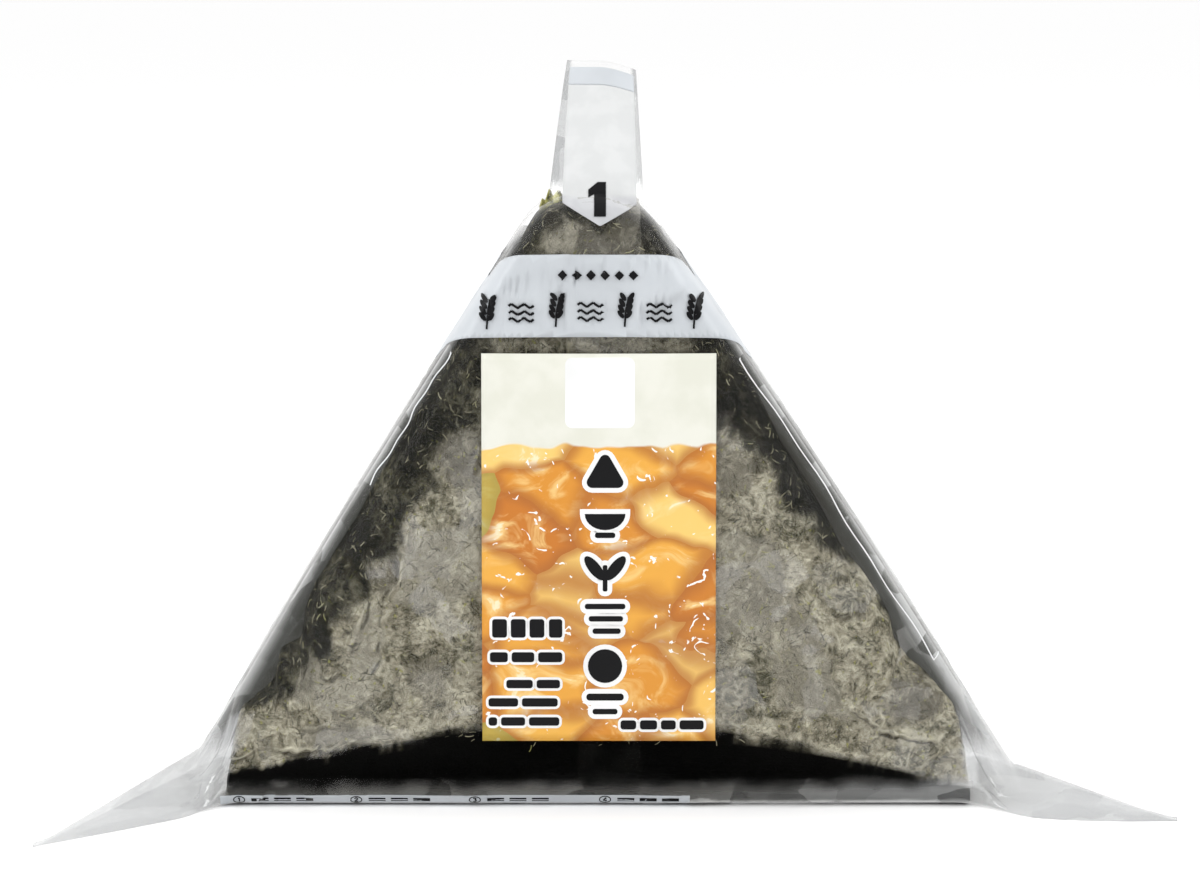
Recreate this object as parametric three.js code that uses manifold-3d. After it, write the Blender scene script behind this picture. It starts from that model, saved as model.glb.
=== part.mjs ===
// A wrapped triangular rice ball, standing on its base: a rice and seaweed
// triangle sealed in clear film, with a pointed film ear at each lower corner,
// a pull flap that stands up from the peak, and a paper sticker on the front.
// Millimetres, +Z up, the front faces -Y, the origin is the centre of the base.
import * as THREE from 'three';
import { mergeVertices } from 'three/addons/utils/BufferGeometryUtils.js';
import Module from 'manifold-3d';

const wasm = await Module();
wasm.setup();

// The filled triangle, as the film round it shows it from the front
const PEAK_HEIGHT = 79.5;
const PEAK_X = -0.95;
const PEAK_RADIUS = 11;
const LEFT_SLOPE = THREE.MathUtils.degToRad(58.4);
const RIGHT_SLOPE = THREE.MathUtils.degToRad(56.8);
const SIDE_SWELL = 1.1;
const BASE_DEPTH = 32.8;
const PEAK_DEPTH = 26;
const FACE_CROWN = 1.3;
const CROWN_HALF_WIDTH = 48;
const LEAST_TOP = 3;
const BOTTOM_EDGE_RADIUS = 4;
const SLANT_EDGE_RADIUS = 5;

// The film ears: x, y and z of their points, where the root meets the triangle
// and where the flat point lies on the table
const LEFT_EAR = {
  frontRoot: [-48.5, -17.2, 0],
  creaseRoot: [-52.5, -12.5, 2.6],
  ridgeRoot: [-53.6, -0.5, 4.4],
  backRoot: [-52.5, 13, 0],
  frontBow: -0.4,
  tip: [-70, -36, 0],
};
const RIGHT_EAR = {
  frontRoot: [47.5, -18, 0],
  creaseRoot: [53.5, -14.5, 1.5],
  ridgeRoot: [56.2, -1.5, 2.4],
  backRoot: [53.5, 13, 0],
  frontBow: -2.2,
  tip: [73.9, -23, 0],
};
const EAR_TIP_THICKNESS = 0.5;
const EAR_TIP_WIDTH = 1.2;
const EAR_BLEND_START = 46.5;
const EAR_EDGE_RADIUS = 0.4;
const EAR_CREASE_GAP = 0.3;
const EAR_RIDGE_SHARE = 0.6;
const EAR_BACK_GAP = 0.2;
const EAR_CREASE_SHARE = 0.7;

// The pull flap at the peak
const FLAP_FOOT = { x: -0.5, y: -8.4, z: 71 };
const FLAP_LENGTH = 28;
const FLAP_FOOT_HALF_WIDTH = 6.7;
const FLAP_TOP_HALF_WIDTH = 4.5;
const FLAP_TOP_SHIFT = 0.9;
const FLAP_THICKNESS = 0.7;
const FLAP_LEAN = THREE.MathUtils.degToRad(8);
const FLAP_EXTRA_LEAN = THREE.MathUtils.degToRad(20);
const FLAP_BOW = 1.5;
const FLAP_CORNER_DROOP = 1.7;

// The sticker on the front face
const LABEL_HALF_WIDTH = 15;
const LABEL_BOTTOM = 9.1;
const LABEL_TOP = 59.1;
const LABEL_X = 0.1;
const LABEL_GAP = 0.3;
const LABEL_THICKNESS = 0.3;

// How finely the solids are cut
const BODY_STEP = 2.1;
const EAR_STEPS = 11;
const CORNER_POINTS = 5;
const FACE_POINTS = 9;
const TOP_POINTS = 5;
const FLAP_ROWS = 14;
const FLAP_COLUMNS = 10;
const LABEL_ROWS = 16;
const LABEL_COLUMNS = 10;

// The most that a rounding takes of the edges beside it
const ROUNDING_SHARE = 0.4;

const { lerp, smoothstep } = THREE.MathUtils;

// Height of the slanted film over the base, for the body alone
function outlineHeight(x) {
  const slope = x < PEAK_X ? LEFT_SLOPE : RIGHT_SLOPE;
  const across = Math.abs(x - PEAK_X);
  const arcReach = PEAK_RADIUS * Math.sin(slope);
  const arcCentre = PEAK_HEIGHT - PEAK_RADIUS;
  if (across < arcReach) return arcCentre + Math.sqrt(PEAK_RADIUS ** 2 - across ** 2);
  const lineHeight = arcCentre + PEAK_RADIUS * Math.cos(slope);
  const height = lineHeight - (across - arcReach) * Math.tan(slope);
  const alongSide = 1 - height / lineHeight;
  return height + SIDE_SWELL * Math.sin(Math.PI * Math.min(1, alongSide));
}

// Half of the pack's depth at a height, before the faces' crown
function halfDepth(z) {
  return lerp(BASE_DEPTH, PEAK_DEPTH, z / PEAK_HEIGHT) / 2;
}

// How far the front and back faces swell out, fading to nothing at their edges
function crown(x, z) {
  const top = Math.max(outlineHeight(x), LEAST_TOP);
  const upward = Math.sin(Math.PI * THREE.MathUtils.clamp(z / top, 0, 1));
  const sideways = THREE.MathUtils.clamp(1 - (x / CROWN_HALF_WIDTH) ** 2, 0, 1);
  return FACE_CROWN * Math.sqrt(Math.max(upward, 0)) * sideways;
}

// A point between the root and the tip of one edge of an ear, at a given x
function earEdge(ear, root, x) {
  const t = THREE.MathUtils.clamp((x - root[0]) / (ear.tip[0] - root[0]), 0, 1);
  return { t, y: lerp(root[1], ear.tip[1], t), z: lerp(root[2], ear.tip[2], t) };
}

// The four corners of a body section: front foot, front top, back top, back foot
function bodyCorners(x) {
  const top = Math.max(outlineHeight(x), LEAST_TOP);
  const foot = halfDepth(0);
  const head = halfDepth(top);
  return [[-foot, 0], [-head, top], [head, top], [foot, 0]];
}

// The same four corners in an ear: front edge, crease, ridge and back edge
function earCorners(ear, x) {
  const front = earEdge(ear, ear.frontRoot, x);
  const crease = earEdge(ear, ear.creaseRoot, x);
  const ridge = earEdge(ear, ear.ridgeRoot, x);
  const back = earEdge(ear, ear.backRoot, x);
  const frontY = front.y + ear.frontBow * Math.sin(Math.PI * front.t);
  const backY = Math.max(back.y, frontY + EAR_TIP_WIDTH);
  const leastRidgeY = frontY + EAR_RIDGE_SHARE * EAR_TIP_WIDTH;
  const ridgeY = Math.min(Math.max(ridge.y, leastRidgeY), backY - EAR_BACK_GAP);
  const creaseY = Math.min(Math.max(crease.y, frontY + EAR_CREASE_GAP), ridgeY - EAR_CREASE_GAP);
  const ridgeZ = Math.max(ridge.z, EAR_TIP_THICKNESS, ridge.t > 0 ? 0 : outlineHeight(x));
  const creaseZ = Math.max(Math.min(crease.z, ridgeZ), EAR_TIP_THICKNESS * EAR_CREASE_SHARE);
  return [[frontY, 0], [creaseY, creaseZ], [ridgeY, ridgeZ], [backY, 0]];
}

// One corner of a section, cut back along both edges and rounded
function roundedCorner(before, corner, after, radius) {
  const a = new THREE.Vector2(...before);
  const c = new THREE.Vector2(...corner);
  const b = new THREE.Vector2(...after);
  const reachA = Math.min(radius, ROUNDING_SHARE * c.distanceTo(a));
  const reachB = Math.min(radius, ROUNDING_SHARE * c.distanceTo(b));
  const start = c.clone().lerp(a, reachA / Math.max(c.distanceTo(a), 1e-6));
  const end = c.clone().lerp(b, reachB / Math.max(c.distanceTo(b), 1e-6));
  return new THREE.QuadraticBezierCurve(start, c, end).getPoints(CORNER_POINTS - 1);
}

// The points strictly between two others on a straight edge
function between(from, to, count) {
  const points = [];
  for (let i = 1; i <= count; i++) points.push(from.clone().lerp(to, i / (count + 1)));
  return points;
}

// The closed section of the wrapper at one x, as [y, z] points
function section(x) {
  const ear = x < 0 ? LEFT_EAR : RIGHT_EAR;
  const blendEnd = Math.abs(ear.ridgeRoot[0]);
  const blend = smoothstep(Math.abs(x), EAR_BLEND_START, blendEnd);
  const body = bodyCorners(x);
  const pointed = earCorners(ear, x);
  const corners = body.map((p, i) => [lerp(p[0], pointed[i][0], blend), lerp(p[1], pointed[i][1], blend)]);
  const radii = [BOTTOM_EDGE_RADIUS, SLANT_EDGE_RADIUS, SLANT_EDGE_RADIUS, BOTTOM_EDGE_RADIUS];
  const rounded = corners.map((corner, i) => {
    const radius = lerp(radii[i], EAR_EDGE_RADIUS, blend);
    return roundedCorner(corners[(i + 3) % 4], corner, corners[(i + 1) % 4], radius);
  });
  const counts = [FACE_POINTS, TOP_POINTS, FACE_POINTS, TOP_POINTS];
  const points = [];
  rounded.forEach((arc, i) => {
    const next = rounded[(i + 1) % 4];
    points.push(...arc, ...between(arc.at(-1), next[0], counts[i]));
  });
  return points.map((p) => {
    const outward = Math.sign(p.x) * crown(x, p.y) * (1 - blend);
    return [p.x + outward, p.y];
  });
}

// The places along X at which the wrapper is cut into sections
function stations() {
  const places = [];
  const bodyEnd = EAR_BLEND_START;
  const count = Math.round((2 * bodyEnd) / BODY_STEP);
  for (let i = 1; i < EAR_STEPS; i++) {
    places.push(lerp(LEFT_EAR.tip[0], -bodyEnd, i / EAR_STEPS));
    places.push(lerp(RIGHT_EAR.tip[0], bodyEnd, i / EAR_STEPS));
  }
  for (let i = 0; i <= count; i++) places.push(lerp(-bodyEnd, bodyEnd, i / count));
  places.push(LEFT_EAR.tip[0], RIGHT_EAR.tip[0]);
  return places.sort((a, b) => a - b);
}

// A closed body from rings of points with equal, even counts. Each end is shut
// by a ladder of triangles from one half of its ring to the other
function loft(rings) {
  const size = rings[0].length;
  const indices = [];
  for (let r = 0; r < rings.length - 1; r++) {
    for (let i = 0; i < size; i++) {
      const a = r * size + i;
      const b = r * size + ((i + 1) % size);
      indices.push(a, a + size, b, b, a + size, b + size);
    }
  }
  const last = (rings.length - 1) * size;
  for (let i = 0; i < size / 2 - 1; i++) {
    const j = size - 1 - i;
    indices.push(i, i + 1, j, i + 1, j - 1, j);
    indices.push(last + i, last + j, last + i + 1, last + i + 1, last + j, last + j - 1);
  }
  const geometry = new THREE.BufferGeometry();
  geometry.setAttribute('position', new THREE.Float32BufferAttribute(rings.flat(2), 3));
  geometry.setIndex(indices);
  return geometry;
}

function wrapperBody() {
  return loft(stations().map((x) => section(x).map(([y, z]) => [x, y, z])));
}

// The pull flap: a thin strip that bows towards the front and leans back,
// its right top corner drooping; its foot is buried in the peak
function flap() {
  const rings = [];
  for (let row = 0; row <= FLAP_ROWS; row++) {
    const front = [];
    const back = [];
    for (let column = 0; column <= FLAP_COLUMNS; column++) {
      const u = -1 + (2 * column) / FLAP_COLUMNS;
      const length = FLAP_LENGTH - FLAP_CORNER_DROOP * Math.max(u, 0) ** 1.5;
      const t = (row / FLAP_ROWS) * (length / FLAP_LENGTH);
      const lean = FLAP_LEAN + FLAP_EXTRA_LEAN * t;
      const halfWidth = lerp(FLAP_FOOT_HALF_WIDTH, FLAP_TOP_HALF_WIDTH, t);
      const x = FLAP_FOOT.x + FLAP_TOP_SHIFT * t + halfWidth * u;
      const y = FLAP_FOOT.y + FLAP_LENGTH * t * Math.sin(lean) + FLAP_BOW * u * u;
      const z = FLAP_FOOT.z + FLAP_LENGTH * t * Math.cos(lean);
      front.push([x, y, z]);
      back.push([x, y + FLAP_THICKNESS, z]);
    }
    rings.push([...back, ...front.reverse()]);
  }
  return loft(rings);
}

// The sticker: a thin sheet that follows the front face at a small gap
function labelSheet() {
  const rings = [];
  for (let row = 0; row <= LABEL_ROWS; row++) {
    const z = lerp(LABEL_BOTTOM, LABEL_TOP, row / LABEL_ROWS);
    const outer = [];
    const inner = [];
    for (let column = 0; column <= LABEL_COLUMNS; column++) {
      const x = LABEL_X + lerp(-LABEL_HALF_WIDTH, LABEL_HALF_WIDTH, column / LABEL_COLUMNS);
      const face = -halfDepth(z) - crown(x, z);
      outer.push([x, face - LABEL_GAP - LABEL_THICKNESS, z]);
      inner.push([x, face - LABEL_GAP, z]);
    }
    rings.push([...inner, ...outer.reverse()]);
  }
  return loft(rings);
}

// A closed geometry as a solid that can be joined to another
function toSolid(geometry) {
  const merged = mergeVertices(geometry, 1e-5);
  const mesh = new wasm.Mesh({
    numProp: 3,
    vertProperties: new Float32Array(merged.attributes.position.array),
    triVerts: new Uint32Array(merged.index.array),
  });
  return new wasm.Manifold(mesh);
}

function toGeometry(solid) {
  const mesh = solid.getMesh();
  const geometry = new THREE.BufferGeometry();
  geometry.setAttribute('position', new THREE.Float32BufferAttribute(mesh.vertProperties, 3));
  geometry.setIndex(new THREE.Uint32BufferAttribute(mesh.triVerts, 1));
  return geometry;
}

function namedMesh(name, geometry, settings) {
  geometry.computeVertexNormals();
  const mesh = new THREE.Mesh(geometry, new THREE.MeshStandardMaterial(settings));
  mesh.name = name;
  return mesh;
}

const pack = new THREE.Group();
pack.name = 'wrapped_rice_ball';
pack.add(
  namedMesh('wrapper', toGeometry(toSolid(wrapperBody()).add(toSolid(flap()))), {
    color: '#3a3a30',
    roughness: 0.35,
    metalness: 0,
  }),
  namedMesh('label', labelSheet(), {
    color: '#e2a864',
    roughness: 0.55,
    metalness: 0,
  }),
);

export default pack;
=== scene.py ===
import math

import bmesh
import bpy
import numpy as np
from mathutils import Matrix, Vector, noise
from mathutils.bvhtree import BVHTree


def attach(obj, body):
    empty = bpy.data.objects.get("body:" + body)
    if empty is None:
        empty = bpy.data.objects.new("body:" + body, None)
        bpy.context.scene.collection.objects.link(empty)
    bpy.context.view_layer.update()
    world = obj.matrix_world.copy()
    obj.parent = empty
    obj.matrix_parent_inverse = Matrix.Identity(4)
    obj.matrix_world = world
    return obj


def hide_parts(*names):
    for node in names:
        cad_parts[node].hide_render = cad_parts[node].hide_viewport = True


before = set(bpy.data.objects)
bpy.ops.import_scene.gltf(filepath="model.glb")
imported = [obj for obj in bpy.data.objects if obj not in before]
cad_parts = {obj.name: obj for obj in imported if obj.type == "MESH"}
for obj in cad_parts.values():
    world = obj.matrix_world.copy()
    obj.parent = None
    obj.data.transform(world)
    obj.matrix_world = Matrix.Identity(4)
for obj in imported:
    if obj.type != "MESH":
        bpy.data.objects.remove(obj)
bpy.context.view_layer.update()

MM = 0.001


# The table and the light
# A plain white table under soft studio light. The pack's lower front mirrors the
# bright table before it, and its upper front the dim room behind the camera.

FLOOR_RADIUS = 60.0
FLOOR_DROP = 0.00005
WHITE = (1.0, 1.0, 1.0, 1.0)
WALL_LIGHT = 1.05
DIM_ROOM_LIGHT = 0.12
TABLE_GLOW = 0.9
LAMP_X = 0.9
LAMP_Y = -0.35
LAMP_HEIGHT = 0.75
LAMP_SIZE = 0.7
LAMP_WATTS = 5.0
PACK_MIDDLE = Vector((0.0, 0.0, 0.04))


def add_node(tree, kind, inputs=None, **settings):
    made = tree.nodes.new(kind)
    for key, value in settings.items():
        setattr(made, key, value)
    for key, value in (inputs or {}).items():
        if isinstance(value, bpy.types.NodeSocket):
            tree.links.new(value, made.inputs[key])
        else:
            made.inputs[key].default_value = value
    return made


def math_node(tree, operation, a, b=None, clamp=False):
    values = {0: a} if b is None else {0: a, 1: b}
    return add_node(tree, "ShaderNodeMath", values, operation=operation, use_clamp=clamp).outputs[0]


def scaled_by(tree, factor, amount):
    return math_node(tree, "MULTIPLY", factor, amount)


def range_node(tree, value, from_low, from_high, to_low=0.0, to_high=1.0):
    made = add_node(tree, "ShaderNodeMapRange", {
        "Value": value, "From Min": from_low, "From Max": from_high,
        "To Min": to_low, "To Max": to_high,
    }, interpolation_type="SMOOTHSTEP")
    return made.outputs["Result"]


def new_material(name):
    material = bpy.data.materials.new(name)
    material.use_nodes = True
    material.node_tree.nodes.clear()
    return material, material.node_tree


def surface_shader(tree, tone, **values):
    settings = {key.replace("_", " "): value for key, value in values.items()}
    return add_node(tree, "ShaderNodeBsdfPrincipled", {"Base Color": tone, **settings})


def finish_material(tree, shader):
    add_node(tree, "ShaderNodeOutputMaterial", {"Surface": shader.outputs[0]})


def new_object(name, data):
    made = bpy.data.objects.new(name, data)
    bpy.context.scene.collection.objects.link(made)
    return made


floor_mesh = bpy.data.meshes.new("floor")
floor_form = bmesh.new()
bmesh.ops.create_circle(floor_form, cap_ends=True, segments=96, radius=FLOOR_RADIUS)
floor_form.to_mesh(floor_mesh)
floor_form.free()
floor_mesh.transform(Matrix.Translation((0, 0, -FLOOR_DROP)))
floor_paint, floor_tree = new_material("floor_paint")
finish_material(floor_tree, surface_shader(floor_tree, WHITE, Roughness=1.0, Specular_IOR_Level=0.0))
floor_mesh.materials.append(floor_paint)
floor = new_object("floor", floor_mesh)
floor.visible_glossy = False

bpy.context.scene.view_settings.view_transform = "Standard"
world = bpy.data.worlds.new("studio")
bpy.context.scene.world = world
world.use_nodes = True
room = world.node_tree
room.nodes.clear()
direction = add_node(room, "ShaderNodeTexCoord").outputs["Generated"]
toward = add_node(room, "ShaderNodeSeparateXYZ", {"Vector": direction})
upward = toward.outputs["Z"]
to_camera = range_node(room, scaled_by(room, toward.outputs["Y"], -1.0), 0.45, 0.85)
above_table = range_node(room, upward, -0.03, 0.03)
below_lamp = range_node(room, upward, 0.42, 0.62, 1.0, 0.0)
dim_room = scaled_by(room, scaled_by(room, above_table, below_lamp), to_camera)
wall_light = range_node(room, dim_room, 0.0, 1.0, WALL_LIGHT, DIM_ROOM_LIGHT)
dark_below = range_node(room, upward, -0.42, -0.2, 0.02, 1.0)
table_light = math_node(room, "MAXIMUM", dark_below, range_node(room, toward.outputs["Y"], 0.0, 0.35))
front_table = scaled_by(room, range_node(room, upward, -0.03, 0.03, 1.0, 0.0), to_camera)
table_glow = math_node(room, "ADD", scaled_by(room, front_table, TABLE_GLOW), 1.0)
strength = scaled_by(room, scaled_by(room, wall_light, table_light), table_glow)
glow = add_node(room, "ShaderNodeBackground", {"Color": WHITE, "Strength": strength})
add_node(room, "ShaderNodeOutputWorld", {"Surface": glow.outputs[0]})

for lamp_name, side in (("lamp_left", -1), ("lamp_right", 1)):
    lamp_data = bpy.data.lights.new(lamp_name, "AREA")
    lamp_data.size = LAMP_SIZE
    lamp_data.energy = LAMP_WATTS
    lamp = new_object(lamp_name, lamp_data)
    lamp.location = (side * LAMP_X, LAMP_Y, LAMP_HEIGHT)
    lamp.rotation_mode = "QUATERNION"
    lamp.rotation_quaternion = (PACK_MIDDLE - lamp.location).to_track_quat("-Z", "Y")


# The camera
# It looks at the front from a little above, from about four and a half pack
# heights away. It takes the 1200 by 895 frame that the whole pack fills.

CAMERA_DISTANCE = 0.450
CAMERA_ELEVATION = math.radians(8.0)
CAMERA_AIM = Vector((0.00025, 0.0, 0.0449))
CAMERA_LENS = 101.95

camera_data = bpy.data.cameras.new("camera")
camera_data.lens = CAMERA_LENS
camera_data.sensor_width = 36.0
camera_data.clip_start = 0.01
camera_data.clip_end = 200.0
camera = new_object("camera", camera_data)
toward_camera = Vector((0.0, -math.cos(CAMERA_ELEVATION), math.sin(CAMERA_ELEVATION)))
camera.location = CAMERA_AIM + CAMERA_DISTANCE * toward_camera
camera.rotation_mode = "QUATERNION"
camera.rotation_quaternion = (-toward_camera).to_track_quat("-Z", "Y")
bpy.context.scene.camera = camera


# The rice triangle in its seaweed sheet
# Pressed rice, dry seaweed wrapped tightly round it, the corners cut nearly
# upright. The outline is the pack's own, in millimetres. The seaweed stops
# short of the film along the slanted sides, and its feet are well rounded.

PACK_HALF_WIDTH = 48.0
PEAK_HEIGHT = 79.5
PEAK_X = -0.95
PEAK_RADIUS = 11.0
LEFT_SLOPE = math.radians(58.4)
RIGHT_SLOPE = math.radians(56.8)
SIDE_SWELL = 1.1
BASE_DEPTH = 32.8
PEAK_DEPTH = 26.0
FACE_CROWN = 1.3

SEAWEED_TOP = [
    (-48.2, 10.5), (-46.8, 13.6), (-42.4, 17.7), (-41.8, 21.6), (-38.4, 23.0), (-37.9, 26.5),
    (-36.6, 30.1), (-34.1, 34.3), (-31.1, 38.6), (-27.5, 45.2), (-25.1, 49.4), (-18.5, 60.6),
    (-13.6, 66.9), (-10.8, 71.0), (-9.3, 73.8), (-8.2, 75.5), (-6.3, 77.3), (-4.0, 78.2),
    (-1.0, 78.5), (3.0, 78.0), (5.4, 76.7), (7.6, 74.4), (11.4, 69.0), (14.0, 65.1),
    (20.5, 54.9), (23.4, 48.6), (27.8, 41.7), (31.4, 34.8), (34.2, 31.7),
    (37.6, 26.3), (38.3, 22.7), (40.1, 20.6), (43.6, 18.2), (46.6, 14.6), (48.2, 11.0),
]
SEAWEED_END = 47.0
SEAWEED_END_LEAN = 0.16
SEAWEED_LEAN_HEIGHT = 8.5
SEAWEED_LEAN_START = 38.0
SEAWEED_FACE_GAP = 0.8
SEAWEED_FLOOR = 0.35
SEAWEED_SLANT_RADIUS = 8.5
SEAWEED_PEAK_RADIUS = 5.5
SEAWEED_PEAK_HEIGHTS = (58.0, 72.0)
SEAWEED_FOOT_RADIUS = 10.5
SEAWEED_CORNER_RADIUS = 2.5
SEAWEED_CORNER_POINTS = 14
SEAWEED_EDGE_POINTS = [56, 16, 56, 16]
SEAWEED_CAP_RINGS = 14
SEAWEED_CAP_SWELL = 0.9
SEAWEED_STEPS = 400
SEAWEED_CRUMPLE = 0.17
CREASE_WIDTH = 0.25
GULLY_WIDTH = 0.28
GULLY_OFFSET = 0.5
GULLY_SHARE = 0.6
# Top of the painted shade along the foot, across the front.
UNDERCUT_SHADE_TOP = [
    (-48.5, 4.9), (-41.8, 5.8), (-36.9, 6.8), (-30.0, 8.0), (-23.0, 9.6), (-16.0, 10.9), (0.0, 11.3),
    (16.5, 10.5), (22.0, 9.1), (28.3, 7.7), (33.9, 6.3), (40.8, 4.5), (47.4, 2.7),
]
SEAWEED_CREASES = [
    (0.28, [(-39.7, 13.8), (-38.6, 8.2)]), (0.32, [(-41.0, 14.1), (-36.8, 20.5)]),
    (0.26, [(-36.8, 20.5), (-35.0, 16.8), (-32.4, 18.0)]),
    (0.26, [(-32.0, 17.6), (-32.0, 21.4), (-29.7, 27.1)]),
    (0.34, [(-24.9, 36.0), (-25.4, 31.0), (-27.0, 27.1), (-27.7, 21.4), (-28.4, 17.3)]),
    (0.22, [(-38.6, 10.4), (-33.6, 10.9)]), (0.26, [(-35.0, 12.6), (-31.8, 13.4), (-24.5, 14.3)]),
    (0.36, [(-47.5, 6.1), (-43.6, 7.9), (-36.8, 7.6), (-31.3, 8.9)]),
    (0.24, [(-23.4, 50.6), (-17.9, 52.2)]), (0.22, [(-17.2, 53.4), (-17.8, 49.6), (-16.0, 48.8)]),
    (0.24, [(-28.6, 38.7), (-25.0, 39.9)]), (0.28, [(-30.6, 33.0), (-26.8, 34.3)]),
    (0.20, [(-24.5, 44.5), (-19.5, 45.8)]), (0.34, [(30.3, 25.0), (34.6, 27.1)]),
    (0.24, [(28.6, 29.4), (28.1, 25.6), (29.6, 23.4)]),
    (0.34, [(36.4, 10.4), (40.2, 9.5), (44.0, 8.9), (46.4, 11.2)]),
    (0.26, [(29.8, 16.4), (31.8, 13.8), (36.4, 10.8)]), (0.22, [(25.8, 21.6), (26.5, 18.6)]),
    (0.24, [(15.6, 18.8), (18.2, 17.2)]), (0.2, [(23.4, 32.3), (24.2, 27.1)]),
    (0.24, [(-8.8, 74.6), (-7.6, 71.8)]), (0.22, [(7.0, 74.6), (8.8, 70.8)]),
    (0.28, [(-6.0, 54.0), (-7.2, 45.0), (-3.6, 37.5), (-5.0, 29.0)]),
    (0.26, [(2.0, 36.0), (6.4, 30.0), (4.6, 21.0)]),
    (0.22, [(-12.6, 24.4), (-6.0, 26.2), (1.0, 23.6)]),
    (0.24, [(8.4, 50.0), (10.4, 43.0), (12.8, 38.6)]),
]
# Facets where the film clings to the sheet: the lightness of the painted reflection on each, then its
# outline.
FILM_CONTACTS = [
    (0.80, [(-25.0, 35.5), (-15.0, 36.9), (-15.0, 30.0), (-18.2, 26.4), (-26.2, 26.3), (-25.5, 30.4)]),
    (0.42, [(-29.4, 30.4), (-26.7, 33.4), (-25.7, 31.9), (-25.7, 29.2), (-27.2, 27.5), (-28.9, 28.6)]),
    (0.78, [(-32.0, 22.3), (-29.7, 27.1), (-28.2, 25.7), (-27.6, 21.4), (-28.4, 17.0), (-32.0, 16.8)]),
    (0.84, [(-39.5, 15.5), (-36.8, 20.2), (-35.0, 16.6), (-28.1, 16.6), (-27.9, 14.5), (-34.7, 12.8),
            (-38.8, 13.9)]),
    (0.62, [(-38.6, 10.2), (-30.4, 11.0), (-26.5, 9.9), (-30.5, 9.1), (-38.2, 8.0)]),
    (0.55, [(-24.6, 19.2), (-20.4, 19.6), (-20.0, 14.8), (-24.2, 15.4)]),
    (0.50, [(-19.4, 48.6), (-15.0, 49.6), (-15.0, 42.5), (-18.6, 42.2), (-21.2, 45.2)]),
    (0.66, [(15.0, 36.8), (23.0, 34.6), (24.1, 27.1), (22.2, 21.5), (15.0, 22.6)]),
    (0.70, [(24.7, 28.6), (28.0, 25.2), (30.3, 16.6), (33.6, 11.4), (23.6, 13.0), (22.0, 19.6)]),
    (0.36, [(38.0, 16.6), (41.7, 17.8), (45.2, 14.0), (41.7, 11.0), (38.0, 11.0)]),
    (0.12, [(30.6, 24.9), (34.4, 26.7), (34.0, 24.5)]),
    (0.56, [(15.0, 48.6), (20.2, 45.2), (19.0, 40.8), (15.0, 41.4)]),
    (0.72, [(-12.4, 31.0), (-3.6, 34.4), (1.6, 28.0), (-2.0, 20.4), (-10.0, 21.6)]),
    (0.60, [(2.6, 45.4), (10.8, 42.0), (12.4, 34.0), (5.4, 31.6), (0.6, 38.4)]),
    (0.78, [(-11.6, 48.4), (-4.4, 52.0), (-1.4, 43.0), (-7.6, 38.0), (-13.0, 41.4)]),
    (0.50, [(4.0, 27.0), (12.4, 28.6), (13.0, 18.6), (6.4, 16.4)]),
    (0.66, [(-12.8, 17.6), (-5.0, 19.4), (-1.8, 14.6), (-8.0, 13.2)]),
    (0.34, [(-2.6, 75.3), (0.4, 74.2), (3.6, 76.2), (4.9, 76.2), (6.0, 70.4), (-2.8, 70.4)]),
    (0.62, [(2.9, 74.5), (4.4, 75.4), (4.9, 73.7), (3.6, 73.0)]),
    (0.00, [(5.0, 77.2), (6.6, 73.9), (8.8, 70.4), (6.2, 70.4), (5.5, 73.9)]),
    (0.26, [(-7.1, 75.6), (-4.9, 76.3), (-5.5, 74.1), (-6.9, 73.0)]),
    (0.12, [(-7.3, 77.4), (-4.6, 77.6), (-4.6, 76.8), (-5.1, 75.8), (-7.1, 75.8)]),
    (0.90, [(-4.2, 76.8), (-2.7, 75.4), (-2.7, 73.9), (-3.1, 71.4), (-7.0, 71.7), (-6.8, 72.7),
            (-5.3, 74.1)]),
]


def mix(a, b, t):
    return a + (b - a) * t


def smoothstep(value, low, high):
    t = np.clip((value - low) / (high - low), 0.0, 1.0)
    return t * t * (3.0 - 2.0 * t)


def outline_height(x):
    slope = LEFT_SLOPE if x < PEAK_X else RIGHT_SLOPE
    across = abs(x - PEAK_X)
    arc_reach = PEAK_RADIUS * math.sin(slope)
    arc_centre = PEAK_HEIGHT - PEAK_RADIUS
    if across < arc_reach:
        return arc_centre + math.sqrt(PEAK_RADIUS ** 2 - across ** 2)
    line_height = arc_centre + PEAK_RADIUS * math.cos(slope)
    height = line_height - (across - arc_reach) * math.tan(slope)
    along = 1.0 - height / line_height
    return height + SIDE_SWELL * math.sin(math.pi * min(1.0, along))


def half_depth(z):
    return mix(BASE_DEPTH, PEAK_DEPTH, z / PEAK_HEIGHT) / 2.0


def crown(x, z):
    top = max(outline_height(x), 3.0)
    upward_share = math.sin(math.pi * min(max(z / top, 0.0), 1.0))
    sideways = min(max(1.0 - (x / PACK_HALF_WIDTH) ** 2, 0.0), 1.0)
    return FACE_CROWN * math.sqrt(max(upward_share, 0.0)) * sideways


def rounded_corner(before, corner, after, radius, count):
    to_before = before - corner
    to_after = after - corner
    start = corner + to_before * min(radius / max(to_before.length, 1e-6), 0.4)
    end = corner + to_after * min(radius / max(to_after.length, 1e-6), 0.4)
    points = []
    for i in range(count):
        t = i / (count - 1)
        points.append(start * (1 - t) ** 2 + corner * 2 * t * (1 - t) + end * t ** 2)
    return points


def rounded_ring(corners, radii, corner_points, edge_points):
    corners = [Vector(c) for c in corners]
    arcs = []
    for i in range(4):
        after = corners[(i + 1) % 4]
        arcs.append(rounded_corner(corners[i - 1], corners[i], after, radii[i], corner_points))
    ring = []
    for i in range(4):
        start = arcs[i][-1]
        end = arcs[(i + 1) % 4][0]
        ring.extend(arcs[i])
        for k in range(1, edge_points[i] + 1):
            ring.append(start.lerp(end, k / (edge_points[i] + 1)))
    return ring


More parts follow.
